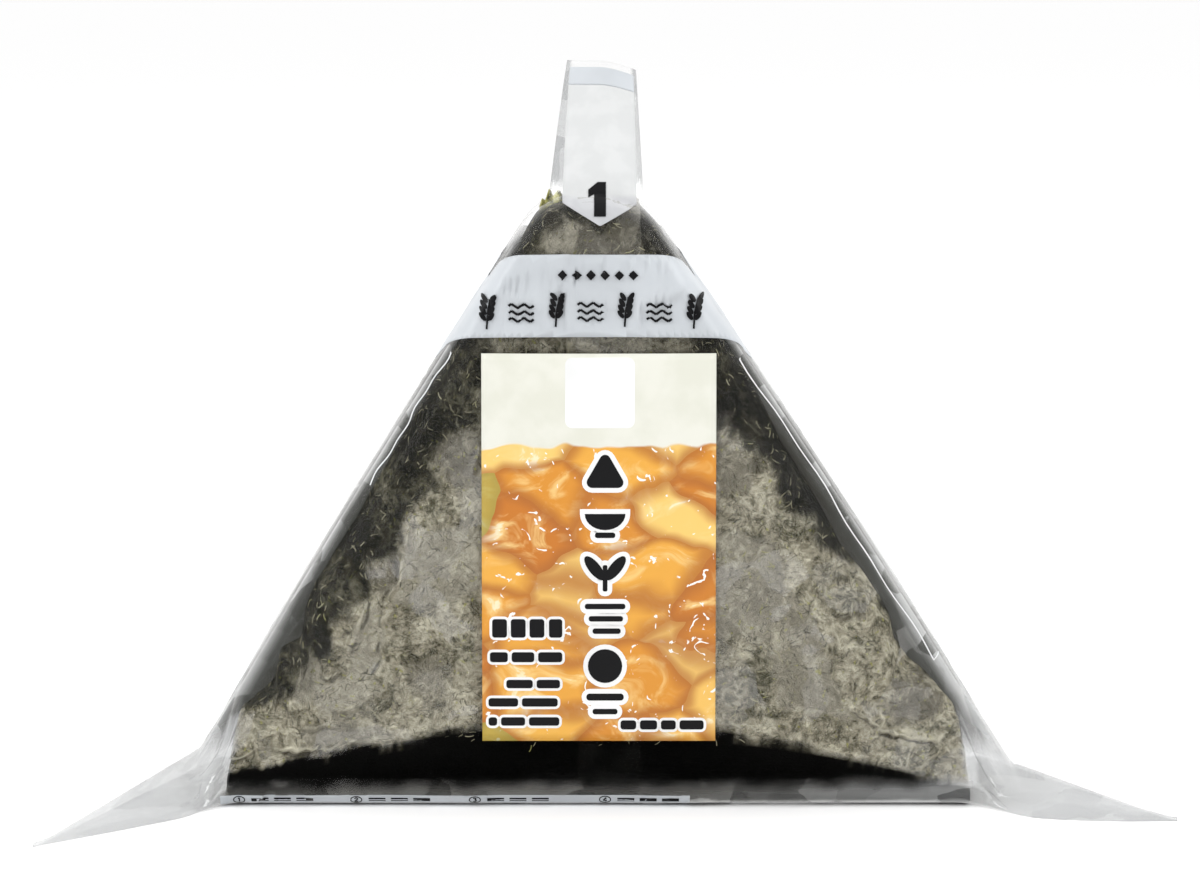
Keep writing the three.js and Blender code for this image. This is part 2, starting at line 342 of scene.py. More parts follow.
def loft_faces(ring_count, size):
    faces = []
    for r in range(ring_count - 1):
        for i in range(size):
            a = r * size + i
            b = r * size + (i + 1) % size
            faces.append((a, a + size, b + size, b))
    first = list(range(size))
    last = [(ring_count - 1) * size + i for i in range(size)]
    for ring, flip in ((first, False), (last, True)):
        for i in range(size // 2 - 1):
            j = size - 1 - i
            quad = (ring[i], ring[i + 1], ring[j - 1], ring[j])
            faces.append(tuple(reversed(quad)) if flip else quad)
    return faces


def make_piece(name, points_mm, faces, material):
    mesh = bpy.data.meshes.new(name)
    mesh.from_pydata([tuple(c * MM for c in p) for p in points_mm], [], faces)
    mesh.validate()
    mesh.materials.append(material)
    mesh.shade_smooth()
    return new_object(name, mesh)


def mesh_points(mesh):
    co = np.zeros(len(mesh.vertices) * 3)
    mesh.vertices.foreach_get("co", co)
    return co.reshape(-1, 3) / MM


def mesh_normals(mesh):
    directions = np.zeros(len(mesh.vertices) * 3)
    mesh.vertices.foreach_get("normal", directions)
    return directions.reshape(-1, 3)


def move_points(mesh, shifts_mm):
    co = (mesh_points(mesh) + shifts_mm) * MM
    mesh.vertices.foreach_set("co", co.ravel())
    mesh.update()


def paint_points(mesh, name, values):
    layer = mesh.attributes.new(name, "FLOAT", "POINT")
    layer.data.foreach_set("value", np.asarray(values, dtype=np.float32))


def surface_of(piece):
    bpy.context.view_layer.update()
    settled = piece.evaluated_get(bpy.context.evaluated_depsgraph_get()).data
    places = [Vector(p) for p in mesh_points(settled)]
    return BVHTree.FromPolygons(places, [tuple(f.vertices) for f in settled.polygons])


def noise_at(points, size, stretch=(1.0, 1.0, 1.0), shift=(0.0, 0.0, 0.0)):
    return np.array([noise.noise(Vector(p) / size) for p in points * stretch + shift])


def vector_math(tree, operation, vector, other):
    key = "Scale" if operation == "SCALE" else 1
    return add_node(tree, "ShaderNodeVectorMath", {0: vector, key: other}, operation=operation).outputs[0]


def millimetres(tree):
    return vector_math(tree, "SCALE", add_node(tree, "ShaderNodeTexCoord").outputs["Object"], 1.0 / MM)


def axis_of(tree, vector, axis):
    return add_node(tree, "ShaderNodeSeparateXYZ", {"Vector": vector}).outputs[axis]


def bent_place(tree, place, scale, reach):
    wander = add_node(tree, "ShaderNodeTexNoise", {"Vector": place, "Scale": scale, "Detail": 2.0})
    centred = vector_math(tree, "SUBTRACT", wander.outputs["Color"], (0.5, 0.5, 0.5))
    return vector_math(tree, "ADD", place, vector_math(tree, "SCALE", centred, reach))


def ramp_node(tree, factor, stops):
    made = add_node(tree, "ShaderNodeValToRGB", {"Fac": factor})
    ramp = made.color_ramp
    while len(ramp.elements) < len(stops):
        ramp.elements.new(0.5)
    for element, (place, colour) in zip(ramp.elements, stops):
        element.position = place
        element.color = (*colour, 1.0)
    return made.outputs["Color"]


def colour_mix(tree, factor, a, b):
    inputs = {0: factor}
    for key, colour in ((6, a), (7, b)):
        inputs[key] = colour if isinstance(colour, bpy.types.NodeSocket) else (*colour, 1.0)
    return add_node(tree, "ShaderNodeMix", inputs, data_type="RGBA").outputs[2]


def noise_value(tree, vector, scale, detail=2.0, roughness=0.5, distortion=0.0):
    return add_node(tree, "ShaderNodeTexNoise", {
        "Vector": vector, "Scale": scale, "Detail": detail, "Roughness": roughness,
        "Distortion": distortion,
    }).outputs[0]


def crease_lines(tree, vector, scale, width, distortion):
    value = noise_value(tree, vector, scale, 3.0, 0.55, distortion)
    away = math_node(tree, "ABSOLUTE", math_node(tree, "SUBTRACT", value, 0.5))
    return range_node(tree, away, 0.0, width, 1.0, 0.0)


def cell_tone(tree, vector, scale):
    cells = add_node(tree, "ShaderNodeTexVoronoi", {"Vector": vector, "Scale": scale}, feature="F1")
    return add_node(tree, "ShaderNodeSeparateColor", {"Color": cells.outputs["Color"]}).outputs[0]


def painted(tree, name):
    return add_node(tree, "ShaderNodeAttribute", attribute_name=name).outputs["Fac"]


def seaweed_finish():
    material, tree = new_material("seaweed")
    place = millimetres(tree)
    bent = bent_place(tree, place, 0.35, 3.0)
    lit = painted(tree, "lit")
    crease = painted(tree, "crease")
    grain = noise_value(tree, bent, 1.15, 5.0, 0.66)
    mottle = noise_value(tree, bent, 0.27, 4.0, 0.62)
    depth = math_node(tree, "ADD", scaled_by(tree, grain, 0.48), scaled_by(tree, mottle, 0.52))
    dark = ramp_node(tree, depth, [
        (0.40, (0.002, 0.002, 0.001)), (0.47, (0.008, 0.008, 0.005)), (0.52, (0.030, 0.028, 0.017)),
        (0.58, (0.090, 0.083, 0.055)), (0.66, (0.24, 0.225, 0.16))])
    pale = ramp_node(tree, depth, [
        (0.38, (0.026, 0.024, 0.012)), (0.44, (0.125, 0.113, 0.073)), (0.50, (0.290, 0.265, 0.195)),
        (0.56, (0.43, 0.40, 0.305)), (0.64, (0.68, 0.65, 0.51))])
    dark = colour_mix(tree, scaled_by(tree, painted(tree, "gloom"), 0.85), dark, (0.004, 0.004, 0.003))
    olive = range_node(tree, noise_value(tree, place, 0.15, 4.0, 0.65), 0.53, 0.62, 0.0, 0.75)
    pale = colour_mix(tree, scaled_by(tree, olive, range_node(tree, grain, 0.42, 0.56, 1.0, 0.35)),
                      pale, (0.040, 0.040, 0.018))
    # Painted reflection: the pale tone where the film mirrors the bright table, the dark one elsewhere. The
    # strands, folds, specks and creases below also take lit and dark copies.
    tone = colour_mix(tree, lit, dark, pale)
    facets = bent_place(tree, place, 0.17, 6.0)
    borders = add_node(tree, "ShaderNodeTexVoronoi", {"Vector": facets, "Scale": 0.19},
                       feature="DISTANCE_TO_EDGE").outputs["Distance"]
    # Painted highlight: pale lines along the fold borders, lighter still in the painted reflection.
    fold_highlights = scaled_by(tree, range_node(tree, borders, 0.0, 0.045, 0.6, 0.0),
                      range_node(tree, mottle, 0.45, 0.55))
    tone = colour_mix(tree, fold_highlights, tone, colour_mix(tree, lit, (0.12, 0.115, 0.08), (0.58, 0.55, 0.43)))
    ridges = crease_lines(tree, bent, 0.42, 0.013, 1.5)
    curls = crease_lines(tree, bent, 1.05, 0.020, 2.2)
    hairs = crease_lines(tree, bent_place(tree, place, 0.9, 1.2), 1.9, 0.018, 0.8)
    gully_shade = crease_lines(tree, bent_place(tree, place, 0.21, 5.0), 0.33, 0.014, 1.2)
    strands = math_node(tree, "MAXIMUM", ridges, scaled_by(tree, curls, 0.7))
    strands = math_node(tree, "MAXIMUM", strands, scaled_by(tree, hairs, 0.3))
    strand_tone = colour_mix(tree, lit, (0.15, 0.143, 0.095), (0.70, 0.67, 0.50))
    tone = colour_mix(tree, scaled_by(tree, strands, 0.6), tone, strand_tone)
    # Painted reflection on the facets where the film clings, each as light or dark as its level.
    contact_reflection = ramp_node(tree, painted(tree, "contact_reflection_tone"), [
        (0.0, (0.006, 0.005, 0.003)), (0.12, (0.045, 0.038, 0.024)), (0.5, (0.19, 0.175, 0.135)),
        (1.0, (0.53, 0.50, 0.40))])
    contact_reflection = colour_mix(tree, range_node(tree, depth, 0.40, 0.60, 0.30, 0.0), contact_reflection, (0.10, 0.09, 0.06))
    contact_reflection = colour_mix(tree, range_node(tree, depth, 0.50, 0.64, 0.0, 0.35), contact_reflection, (0.66, 0.63, 0.50))
    tone = colour_mix(tree, scaled_by(tree, painted(tree, "contact"), 0.86), tone, contact_reflection)
    # Painted shade in narrow gully lines.
    tone = colour_mix(tree, scaled_by(tree, gully_shade, 0.75), tone, (0.016, 0.015, 0.007))
    specks = range_node(tree, noise_value(tree, place, 1.25, 2.0, 0.6), 0.665, 0.70, 0.0, 0.6)
    tone = colour_mix(tree, specks, tone, colour_mix(tree, lit, (0.10, 0.10, 0.025), (0.36, 0.36, 0.09)))
    # Painted highlight on the crease ridges and painted shade in the gullies beside them.
    crease_highlight = colour_mix(tree, lit, (0.22, 0.21, 0.15), (0.64, 0.61, 0.48))
    tone = colour_mix(tree, range_node(tree, crease, 0.06, 0.28, 0.0, 0.7), tone, crease_highlight)
    tone = colour_mix(tree, range_node(tree, crease, -0.16, -0.04, 0.7, 0.0), tone, (0.022, 0.019, 0.011))
    # Painted shade: near black along the foot, where the sheet turns under the rice.
    tone = colour_mix(tree, painted(tree, "undercut_shade"), tone, (0.0012, 0.0012, 0.0009))
    tone = colour_mix(tree, scaled_by(tree, painted(tree, "gloom"), 0.66), tone, (0.006, 0.006, 0.004))
    relief = math_node(tree, "ADD", scaled_by(tree, depth, 0.9), scaled_by(tree, strands, 0.3))
    bump = add_node(tree, "ShaderNodeBump", {"Strength": 0.8, "Distance": 0.0005, "Height": relief})
    finish_material(tree, surface_shader(
        tree, tone, Roughness=0.55, Specular_IOR_Level=0.06, Normal=bump.outputs[0]))
    return material


def seaweed_ring(x):
    top = np.interp(x, *zip(*SEAWEED_TOP))
    foot = half_depth(0.0) - SEAWEED_FACE_GAP
    head = half_depth(top) - SEAWEED_FACE_GAP
    near_middle = 1.0 - (x / (SEAWEED_END + 0.6)) ** 2
    foot_radius = mix(SEAWEED_CORNER_RADIUS, SEAWEED_FOOT_RADIUS, near_middle)
    corners = [(-foot, SEAWEED_FLOOR), (-head, top), (head, top), (foot, SEAWEED_FLOOR)]
    slant_radius = mix(SEAWEED_SLANT_RADIUS, SEAWEED_PEAK_RADIUS, smoothstep(top, *SEAWEED_PEAK_HEIGHTS))
    radii = [foot_radius, slant_radius, slant_radius, foot_radius]
    ring = rounded_ring(corners, radii, SEAWEED_CORNER_POINTS, SEAWEED_EDGE_POINTS)
    spread = math.copysign(smoothstep(abs(x), SEAWEED_LEAN_START, SEAWEED_END), x)
    points = []
    for p in ring:
        lean = spread * SEAWEED_END_LEAN * (SEAWEED_LEAN_HEIGHT - p.y)
        points.append((x + lean, p.x + math.copysign(crown(x, p.y), p.x), p.y))
    return points


def crumple(points):
    broad = 0.5 - np.abs(noise_at(points, 9.0))
    fold = 0.4 - np.abs(noise_at(points, 3.6, (1.0, 1.0, 1.2), (40.0, 0.0, 0.0)))
    fine = noise_at(points, 1.4, shift=(0.0, 20.0, 0.0))
    return SEAWEED_CRUMPLE * (1.5 * broad + 1.0 * fold + 0.35 * fine)


# Front and back laid side by side, so that both read the same tables.
def unrolled(points):
    return np.where(points[:, 1:2] < 0.0, points[:, [0, 2]], points[:, [0, 2]] * (-1.0, 1.0))


def crease_relief(points):
    relief = np.zeros(len(points))
    flat = unrolled(points)
    drift = noise_at(np.column_stack((flat, np.full(len(flat), 3.0))), 2.6)
    wobble = 0.7 * drift + 0.08 * np.sin(2.9 * flat[:, 0] - 2.3 * flat[:, 1])
    strength = np.clip(0.75 + 1.1 * np.roll(drift, 7), 0.15, 1.0)
    for height, path in SEAWEED_CREASES:
        for start, end in zip(path[:-1], path[1:]):
            along = np.array(end) - np.array(start)
            length = np.linalg.norm(along)
            along = along / length
            offset = flat - np.array(start)
            run = offset @ along
            side = offset @ np.array((-along[1], along[0])) + wobble
            inside = smoothstep(run, -0.8, 0.6) * (1.0 - smoothstep(run, length - 0.6, length + 0.8))
            ridge = np.exp(-(side / CREASE_WIDTH) ** 2)
            ridge -= GULLY_SHARE * np.exp(-((side + GULLY_OFFSET) / GULLY_WIDTH) ** 2)
            relief += inside * height * ridge * strength
    return relief


# Facets where the film clings to the sheet, and the painted reflection on each of them, from dark to light.
def contact_shares(points):
    flat = unrolled(points)
    flat = flat + 0.35 * np.column_stack((np.sin(1.9 * flat[:, 1]), np.sin(1.6 * flat[:, 0] + 1.0)))
    share = np.zeros(len(points))
    tone = np.zeros(len(points))
    for level, outline in FILM_CONTACTS:
        inside = np.zeros(len(points), dtype=bool)
        nearest = np.full(len(points), 99.0)
        for start, end in zip(outline, outline[1:] + outline[:1]):
            start = np.array(start)
            edge = np.array(end) - start
            offset = flat - start
            run = np.clip(offset @ edge / (edge @ edge), 0.0, 1.0)
            nearest = np.minimum(nearest, np.linalg.norm(offset - run[:, None] * edge, axis=1))
            crosses = (offset[:, 1] >= 0.0) != (offset[:, 1] >= edge[1])
            reach = edge[0] * offset[:, 1] / (edge[1] if abs(edge[1]) > 1e-9 else 1e-9)
            inside ^= crosses & (offset[:, 0] < reach)
        depth = np.where(inside, nearest, -nearest)
        cover = smoothstep(depth, -0.25, 0.2)
        tone = np.where(depth > -0.3, level + 0.05 * np.sin(0.5 * flat[:, 0] + 0.7 * flat[:, 1]), tone)
        share = np.maximum(share, cover)
    return share, tone


# How far a point lies inside the pack's slanted outline.
def slant_distance(points):
    across = np.abs(points[:, 0] - PEAK_X)
    above_centre = points[:, 2] - (PEAK_HEIGHT - PEAK_RADIUS)
    slope = np.where(points[:, 0] < PEAK_X, LEFT_SLOPE, RIGHT_SLOPE)
    line_height = PEAK_HEIGHT - PEAK_RADIUS + PEAK_RADIUS * np.cos(slope)
    swell = SIDE_SWELL * np.sin(np.pi * np.clip(1.0 - points[:, 2] / line_height, 0.0, 1.0))
    down = (across - PEAK_RADIUS * np.sin(slope)) * np.tan(slope)
    to_line = (line_height + swell - points[:, 2] - down) * np.cos(slope)
    to_arc = PEAK_RADIUS - np.hypot(across, above_centre)
    return np.where(above_centre * np.tan(slope) > across, to_arc, to_line)


# Where the front takes its light from the bright table: low down, and at the peak's left.
def lit_share(points):
    rough = noise_at(points, 4.0) + 0.5 * noise_at(points, 1.6)
    turn = -np.tanh(points[:, 1] / 7.0)
    right = smoothstep(np.clip(points[:, 0], -12.0, 12.0) * turn + 3.0 * rough, -9.0, 9.0)
    height = points[:, 2]
    left_edge = 0.5 + 7.0 * smoothstep(height, 11.0, 16.0)
    right_edge = 1.6 + 4.4 * smoothstep(height, 28.0, 37.0)
    edge = mix(left_edge, right_edge, right) + 2.2 * rough
    inside = smoothstep(slant_distance(points), edge - 0.6, edge + 1.4)
    below_top = 1.0 - mix(0.62 * smoothstep(height + 5.0 * rough, 44.0, 58.0),
                          0.94 * smoothstep(height + 3.0 * rough, 49.0, 54.5), right)
    facing = -points[:, 0] * turn
    peak = 0.3 * smoothstep(height + 4.0 * rough, 60.0, 66.0) * smoothstep(facing + 3.0 * rough, -8.0, 0.0)
    peak *= smoothstep(slant_distance(points) + 1.5 * rough, 1.6, 4.0)
    above_sticker = smoothstep(height, 57.5, 59.5) * (1.0 - smoothstep(height, 61.5, 64.0))
    above_sticker *= 0.62 * (1.0 - smoothstep(np.abs(points[:, 0]) + 2.0 * rough, 11.0, 15.0))
    return np.maximum(np.maximum(inside * below_top, peak), above_sticker)


# Where the sheet lies deepest in the dim room's reflection, most of all on the right.
def gloom_share(points, lit):
    broad = noise_at(points, 6.5)
    right = smoothstep(points[:, 0] * np.where(points[:, 1] < 0, 1, -1), 2.0, 12.0)
    gloom = np.clip(mix(0.36, 1.05, right) + 1.1 * broad, 0.0, 1.0)
    flank = smoothstep(points[:, 2], 62.0, 67.0) * (1.0 - smoothstep(slant_distance(points), 1.8, 4.0))
    return (1.0 - lit) * np.maximum(gloom, flank)


# Painted shade: the near-black lens along the foot, where the sheet curves away under the rice.
def undercut_shade_share(points):
    ragged = 0.6 * noise_at(points, 1.3, (1.6, 1.0, 0.5)) + 1.2 * noise_at(points, 4.1, (1.0, 1.0, 0.3))
    ragged = np.where(points[:, 1] < 0.0, ragged, 0.5 * ragged)
    top = np.interp(unrolled(points)[:, 0], *zip(*UNDERCUT_SHADE_TOP)) + 0.7 * ragged
    end_cap = smoothstep(np.abs(points[:, 0]), 44.0, 46.5)
    end_cap *= 1.0 - smoothstep(np.abs(points[:, 1]), 10.0, 14.0)
    return (1.0 - smoothstep(points[:, 2], top - 0.5, top + 0.4)) * (1.0 - 0.8 * end_cap)


seaweed_rings = []
for i in range(SEAWEED_STEPS + 1):
    seaweed_rings.append(seaweed_ring(mix(-SEAWEED_END, SEAWEED_END, i / SEAWEED_STEPS)))
for side in (-1, 1):
    edge = np.array(seaweed_rings[0 if side < 0 else -1])
    middle = np.mean(edge, axis=0)
    for k in range(1, SEAWEED_CAP_RINGS + 1):
        share = 1.0 - k / (SEAWEED_CAP_RINGS + 0.5)
        swell = (side * SEAWEED_CAP_SWELL * (1.0 - share ** 2), 0.0, 0.0)
        inner = [tuple(p) for p in middle + (edge - middle) * share + swell]
        seaweed_rings.insert(0 if side < 0 else len(seaweed_rings), inner)
seaweed_points = np.array([p for ring in seaweed_rings for p in ring])
seaweed_faces = loft_faces(len(seaweed_rings), len(seaweed_rings[0]))
seaweed = make_piece("seaweed", seaweed_points, seaweed_faces, seaweed_finish())
creases = crease_relief(seaweed_points)
relief_mm = crumple(seaweed_points)
relief_mm *= mix(0.4, 1.0, smoothstep(slant_distance(seaweed_points), 1.0, 3.5))
relief_mm += creases
move_points(seaweed.data, mesh_normals(seaweed.data) * relief_mm[:, None])
seaweed_lit = lit_share(seaweed_points)
contact, contact_reflection_tone = contact_shares(seaweed_points)
for mask_name, share in (
        ("lit", seaweed_lit), ("gloom", gloom_share(seaweed_points, seaweed_lit)),
        ("undercut_shade", undercut_shade_share(seaweed_points)), ("crease", creases),
        ("contact", contact), ("contact_reflection_tone", contact_reflection_tone)):
    paint_points(seaweed.data, mask_name, share)
seaweed_surface = surface_of(seaweed)
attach(seaweed, "root")
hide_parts("wrapper")


# The loose seaweed shreds
# Short curled fibres stand off the sheet everywhere, yellow-green where light
# comes through. They are scattered over the seaweed's own surface.

SHRED_LENGTH = 0.8
SHRED_WIDTH = 0.08
SHRED_THICKNESS_SHARE = 0.45
SHRED_CURL = 420.0
SHRED_LIFT_SHARE = -0.35
SHRED_DENSITY = 0.42
SHRED_LOWEST = 9.0
SHRED_SMALLEST = 0.5
SHRED_LARGEST = 1.5
SHRED_FULL_TURN = 6.283
SHRED_SEED = 11
SHRED_SIZE_SEED = 7


def shred_finish():
    material, tree = new_material("seaweed_shred")
    tone = ramp_node(tree, noise_value(tree, millimetres(tree), 0.35, 2.0), [
        (0.36, (0.035, 0.034, 0.015)), (0.50, (0.20, 0.185, 0.115)), (0.62, (0.33, 0.31, 0.20)),
        (0.70, (0.30, 0.30, 0.09))])
    finish_material(tree, surface_shader(tree, tone, Roughness=0.55, Specular_IOR_Level=0.4))
    return material


def shred_group(material):
    group = bpy.data.node_groups.new("Seaweed shreds", "GeometryNodeTree")
    for name, kind in (("Seaweed", "Geometry"), ("Density per square metre", "Float"),
                       ("Shred length", "Float"), ("Shred width", "Float"), ("Seed", "Int")):
        group.interface.new_socket(name, in_out="INPUT", socket_type="NodeSocket" + kind)
    group.interface.new_socket("Shreds", in_out="OUTPUT", socket_type="NodeSocketGeometry")
    given = add_node(group, "NodeGroupInput").outputs
    height = axis_of(group, add_node(group, "GeometryNodeInputPosition").outputs[0], "Z")
    above_foot = add_node(group, "FunctionNodeCompare", {0: height, 1: SHRED_LOWEST * MM},
                          data_type="FLOAT", operation="GREATER_THAN").outputs[0]
    spots = add_node(group, "GeometryNodeDistributePointsOnFaces", {
        "Mesh": given["Seaweed"], "Selection": above_foot,
        "Density": given["Density per square metre"], "Seed": given["Seed"]})
    size = add_node(group, "ShaderNodeCombineXYZ", {
        "X": given["Shred length"], "Y": given["Shred width"],
        "Z": scaled_by(group, given["Shred width"], SHRED_THICKNESS_SHARE)})
    strip = add_node(group, "GeometryNodeMeshCube", {"Size": size.outputs[0], "Vertices X": 5})
    along = axis_of(group, add_node(group, "GeometryNodeInputPosition").outputs[0], "X")
    curve = scaled_by(group, scaled_by(group, along, along), SHRED_CURL)
    curl = add_node(group, "ShaderNodeCombineXYZ", {
        "Y": curve, "Z": scaled_by(group, curve, SHRED_LIFT_SHARE)})
    curled = add_node(group, "GeometryNodeSetPosition", {
        "Geometry": strip.outputs["Mesh"], "Offset": curl.outputs[0]})
    spin = add_node(group, "FunctionNodeRandomValue", {3: SHRED_FULL_TURN, "Seed": given["Seed"]},
                    data_type="FLOAT")
    turn = add_node(group, "ShaderNodeCombineXYZ", {"Z": spin.outputs[1]})
    turned = add_node(group, "FunctionNodeRotateRotation", {
        "Rotation": spots.outputs["Rotation"],
        "Rotate By": add_node(group, "FunctionNodeEulerToRotation", {0: turn.outputs[0]}).outputs[0]},
        rotation_space="LOCAL")
    growth = add_node(group, "FunctionNodeRandomValue", {
        2: SHRED_SMALLEST, 3: SHRED_LARGEST, "Seed": SHRED_SIZE_SEED}, data_type="FLOAT")
    placed = add_node(group, "GeometryNodeInstanceOnPoints", {
        "Points": spots.outputs["Points"], "Instance": curled.outputs["Geometry"],
        "Rotation": turned.outputs[0], "Scale": growth.outputs[1]})
    whole = add_node(group, "GeometryNodeRealizeInstances", {"Geometry": placed.outputs["Instances"]})
    dressed = add_node(group, "GeometryNodeSetMaterial", {
        "Geometry": whole.outputs["Geometry"], "Material": material})
    add_node(group, "NodeGroupOutput", {"Shreds": dressed.outputs["Geometry"]})
    return group


def grow(name, base_mesh, group, material, values):
    carrier = new_object(name, base_mesh.copy())
    maker = carrier.modifiers.new("maker", "NODES")
    maker.node_group = group
    sockets = {item.name: item.identifier for item in group.interface.items_tree if item.in_out == "INPUT"}
    for key, value in values.items():
        maker[sockets[key]] = value
    bpy.context.view_layer.update()
    settled = carrier.evaluated_get(bpy.context.evaluated_depsgraph_get())
    grown_mesh = bpy.data.meshes.new_from_object(settled)
    grown_mesh.name = name
    carrier.modifiers.clear()
    carrier.data = grown_mesh
    grown_mesh.materials.clear()
    grown_mesh.materials.append(material)
    return carrier


shred_material = shred_finish()
shreds = grow("seaweed_shreds", seaweed.data, shred_group(shred_material), shred_material, {
    "Density per square metre": SHRED_DENSITY / MM ** 2,
    "Shred length": SHRED_LENGTH * MM,
    "Shred width": SHRED_WIDTH * MM,
    "Seed": SHRED_SEED,
})
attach(shreds, "root")


# The torn seaweed edge
# At the peak's left the dry sheet is torn, and its thin yellow-green edge stands
# up in a few jagged tips inside the foot of the pull flap.

TORN_TIPS = [
    (0.0, 77.3), (0.10, 78.3), (0.22, 78.0), (0.36, 79.5), (0.44, 79.3), (0.52, 78.5), (0.60, 78.9),
    (0.72, 79.4), (0.80, 79.2), (0.88, 78.7), (1.0, 78.6),
]


TORN_LEFT = -7.6
TORN_RIGHT = -4.2
TORN_FOOT = 75.2
TORN_Y = -6.3
TORN_COLUMNS = 44
TORN_ROWS = 10
TORN_THICKNESS = 0.1


def strip_piece(name, front_point, columns, rows, thickness, material):
    rings = []
    for r in range(rows + 1):
        front = [front_point(c / columns, r / rows) for c in range(columns + 1)]
        back = [(p[0], p[1] + thickness, p[2]) for p in front]
        rings.append(back + front[::-1])
    points = [p for ring in rings for p in ring]
    return make_piece(name, points, loft_faces(rows + 1, len(rings[0])), material)


def torn_point(a, b):
    top = float(np.interp(a, *zip(*TORN_TIPS)))
    x = mix(TORN_LEFT, TORN_RIGHT, a)
    return (x, TORN_Y + 0.35 * math.sin(5.0 * a) + 0.6 * b, mix(TORN_FOOT, top, b))


def torn_finish():
    material, tree = new_material("torn_seaweed")
    place = millimetres(tree)
    tone = ramp_node(tree, noise_value(tree, place, 0.9, 4.0, 0.6), [
        (0.38, (0.06, 0.06, 0.02)), (0.47, (0.24, 0.235, 0.07)), (0.55, (0.48, 0.46, 0.16)),
        (0.66, (0.72, 0.70, 0.36))])
    in_shade = range_node(tree, axis_of(tree, place, "Z"), 76.3, 77.9, 1.0, 0.0)
    tone = colour_mix(tree, in_shade, tone, (0.03, 0.03, 0.014))
    finish_material(tree, surface_shader(tree, tone, Roughness=0.6, Specular_IOR_Level=0.2))
    return material


torn_edge = strip_piece("torn_edge", torn_point, TORN_COLUMNS, TORN_ROWS, TORN_THICKNESS, torn_finish())
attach(torn_edge, "root")


# The clear film
# One sheet of thin clear plastic, folded round the triangle and sealed, so it
# stands off the seaweed along the slanted sides and ends in a pointed ear at
# each lower corner. It is slack, with sharp creases between flat facets.

BOTTOM_EDGE_RADIUS = 4.0
SLANT_EDGE_RADIUS = 5.0
EAR_BLEND_START = 46.5
EAR_TIP_THICKNESS = 0.5
EAR_TIP_WIDTH = 1.2
LEFT_EAR = {
    "front": (-48.5, -17.2, 0.0),
    "crease": (-52.5, -12.5, 2.6),
    "ridge": (-53.6, -0.5, 4.4),
    "back": (-52.5, 13.0, 0.0),
    "bow": -0.4,
    "tip": (-70.0, -36.0, 0.0),
}
RIGHT_EAR = {
    "front": (47.5, -18.0, 0.0),
    "crease": (53.5, -14.5, 1.5),
    "ridge": (56.2, -1.5, 2.4),
    "back": (53.5, 13.0, 0.0),
    "bow": -2.2,
    "tip": (73.9, -23.0, 0.0),
}
FILM_BODY_STEPS = 290
FILM_EAR_STEPS = 60
FILM_CORNER_POINTS = 9
FILM_EDGE_POINTS = [50, 24, 50, 24]
BROAD_FACET = 11.0
SMALL_FACET = 4.2
FILM_DEEPEST_DIP = 0.6
FILM_CLEARANCE = 0.12


STUCK_MIDDLE = 34.0
STUCK_HALF_WIDTH = 19.0
STUCK_HALF_HEIGHT = 31.0
STUCK_CALM = 0.85


def ear_edge(ear, edge, x):
    root = ear[edge]
    t = min(max((x - root[0]) / (ear["tip"][0] - root[0]), 0.0), 1.0)
    return t, mix(root[1], ear["tip"][1], t), mix(root[2], ear["tip"][2], t)


def ear_corners(ear, x):
    front_t, front_y, _ = ear_edge(ear, "front", x)
    _, crease_y, crease_z = ear_edge(ear, "crease", x)
    ridge_t, ridge_y, ridge_z = ear_edge(ear, "ridge", x)
    _, back_y, _ = ear_edge(ear, "back", x)
    front_y += ear["bow"] * math.sin(math.pi * front_t)
    back_y = max(back_y, front_y + EAR_TIP_WIDTH)
    ridge_y = min(max(ridge_y, front_y + 0.6 * EAR_TIP_WIDTH), back_y - 0.2)
    crease_y = min(max(crease_y, front_y + 0.3), ridge_y - 0.3)
    ridge_z = max(ridge_z, EAR_TIP_THICKNESS, 0.0 if ridge_t > 0 else outline_height(x))
    crease_z = max(min(crease_z, ridge_z), EAR_TIP_THICKNESS * 0.7)
    return [(front_y, 0.0), (crease_y, crease_z), (ridge_y, ridge_z), (back_y, 0.0)]


def film_ring(x):
    ear = LEFT_EAR if x < 0 else RIGHT_EAR
    blend = smoothstep(abs(x), EAR_BLEND_START, abs(ear["ridge"][0]))
    top = max(outline_height(x), 3.0)
    foot = half_depth(0.0)
    head = half_depth(top)
    body = [(-foot, 0.0), (-head, top), (head, top), (foot, 0.0)]
    pointed = ear_corners(ear, x)
    corners = [(mix(b[0], e[0], blend), mix(b[1], e[1], blend)) for b, e in zip(body, pointed)]
    radii = [BOTTOM_EDGE_RADIUS, SLANT_EDGE_RADIUS, SLANT_EDGE_RADIUS, BOTTOM_EDGE_RADIUS]
    radii = [mix(r, 0.4, blend) for r in radii]
    ring = rounded_ring(corners, radii, FILM_CORNER_POINTS, FILM_EDGE_POINTS)
    points = []
    for p in ring:
        swell = math.copysign(crown(x, p.y), p.x) * (1.0 - blend)
        points.append((x, p.x + swell, p.y))
    return points


# Tilted flat facets between sharp creases, as slack film has.
def facet_dip(place, size, steepness):
    scaled = place / size
    planes = []
    for centre in noise.voronoi(scaled)[1]:
        lean = noise.cell_vector(centre * 37.0)
        planes.append((lean - Vector((0.5, 0.5, 0.5))).dot(scaled - centre))
    return max(planes) * steepness * size


# Without a fixed seed, noise_vector starts from the clock and every run differs.
noise.seed_set(1)


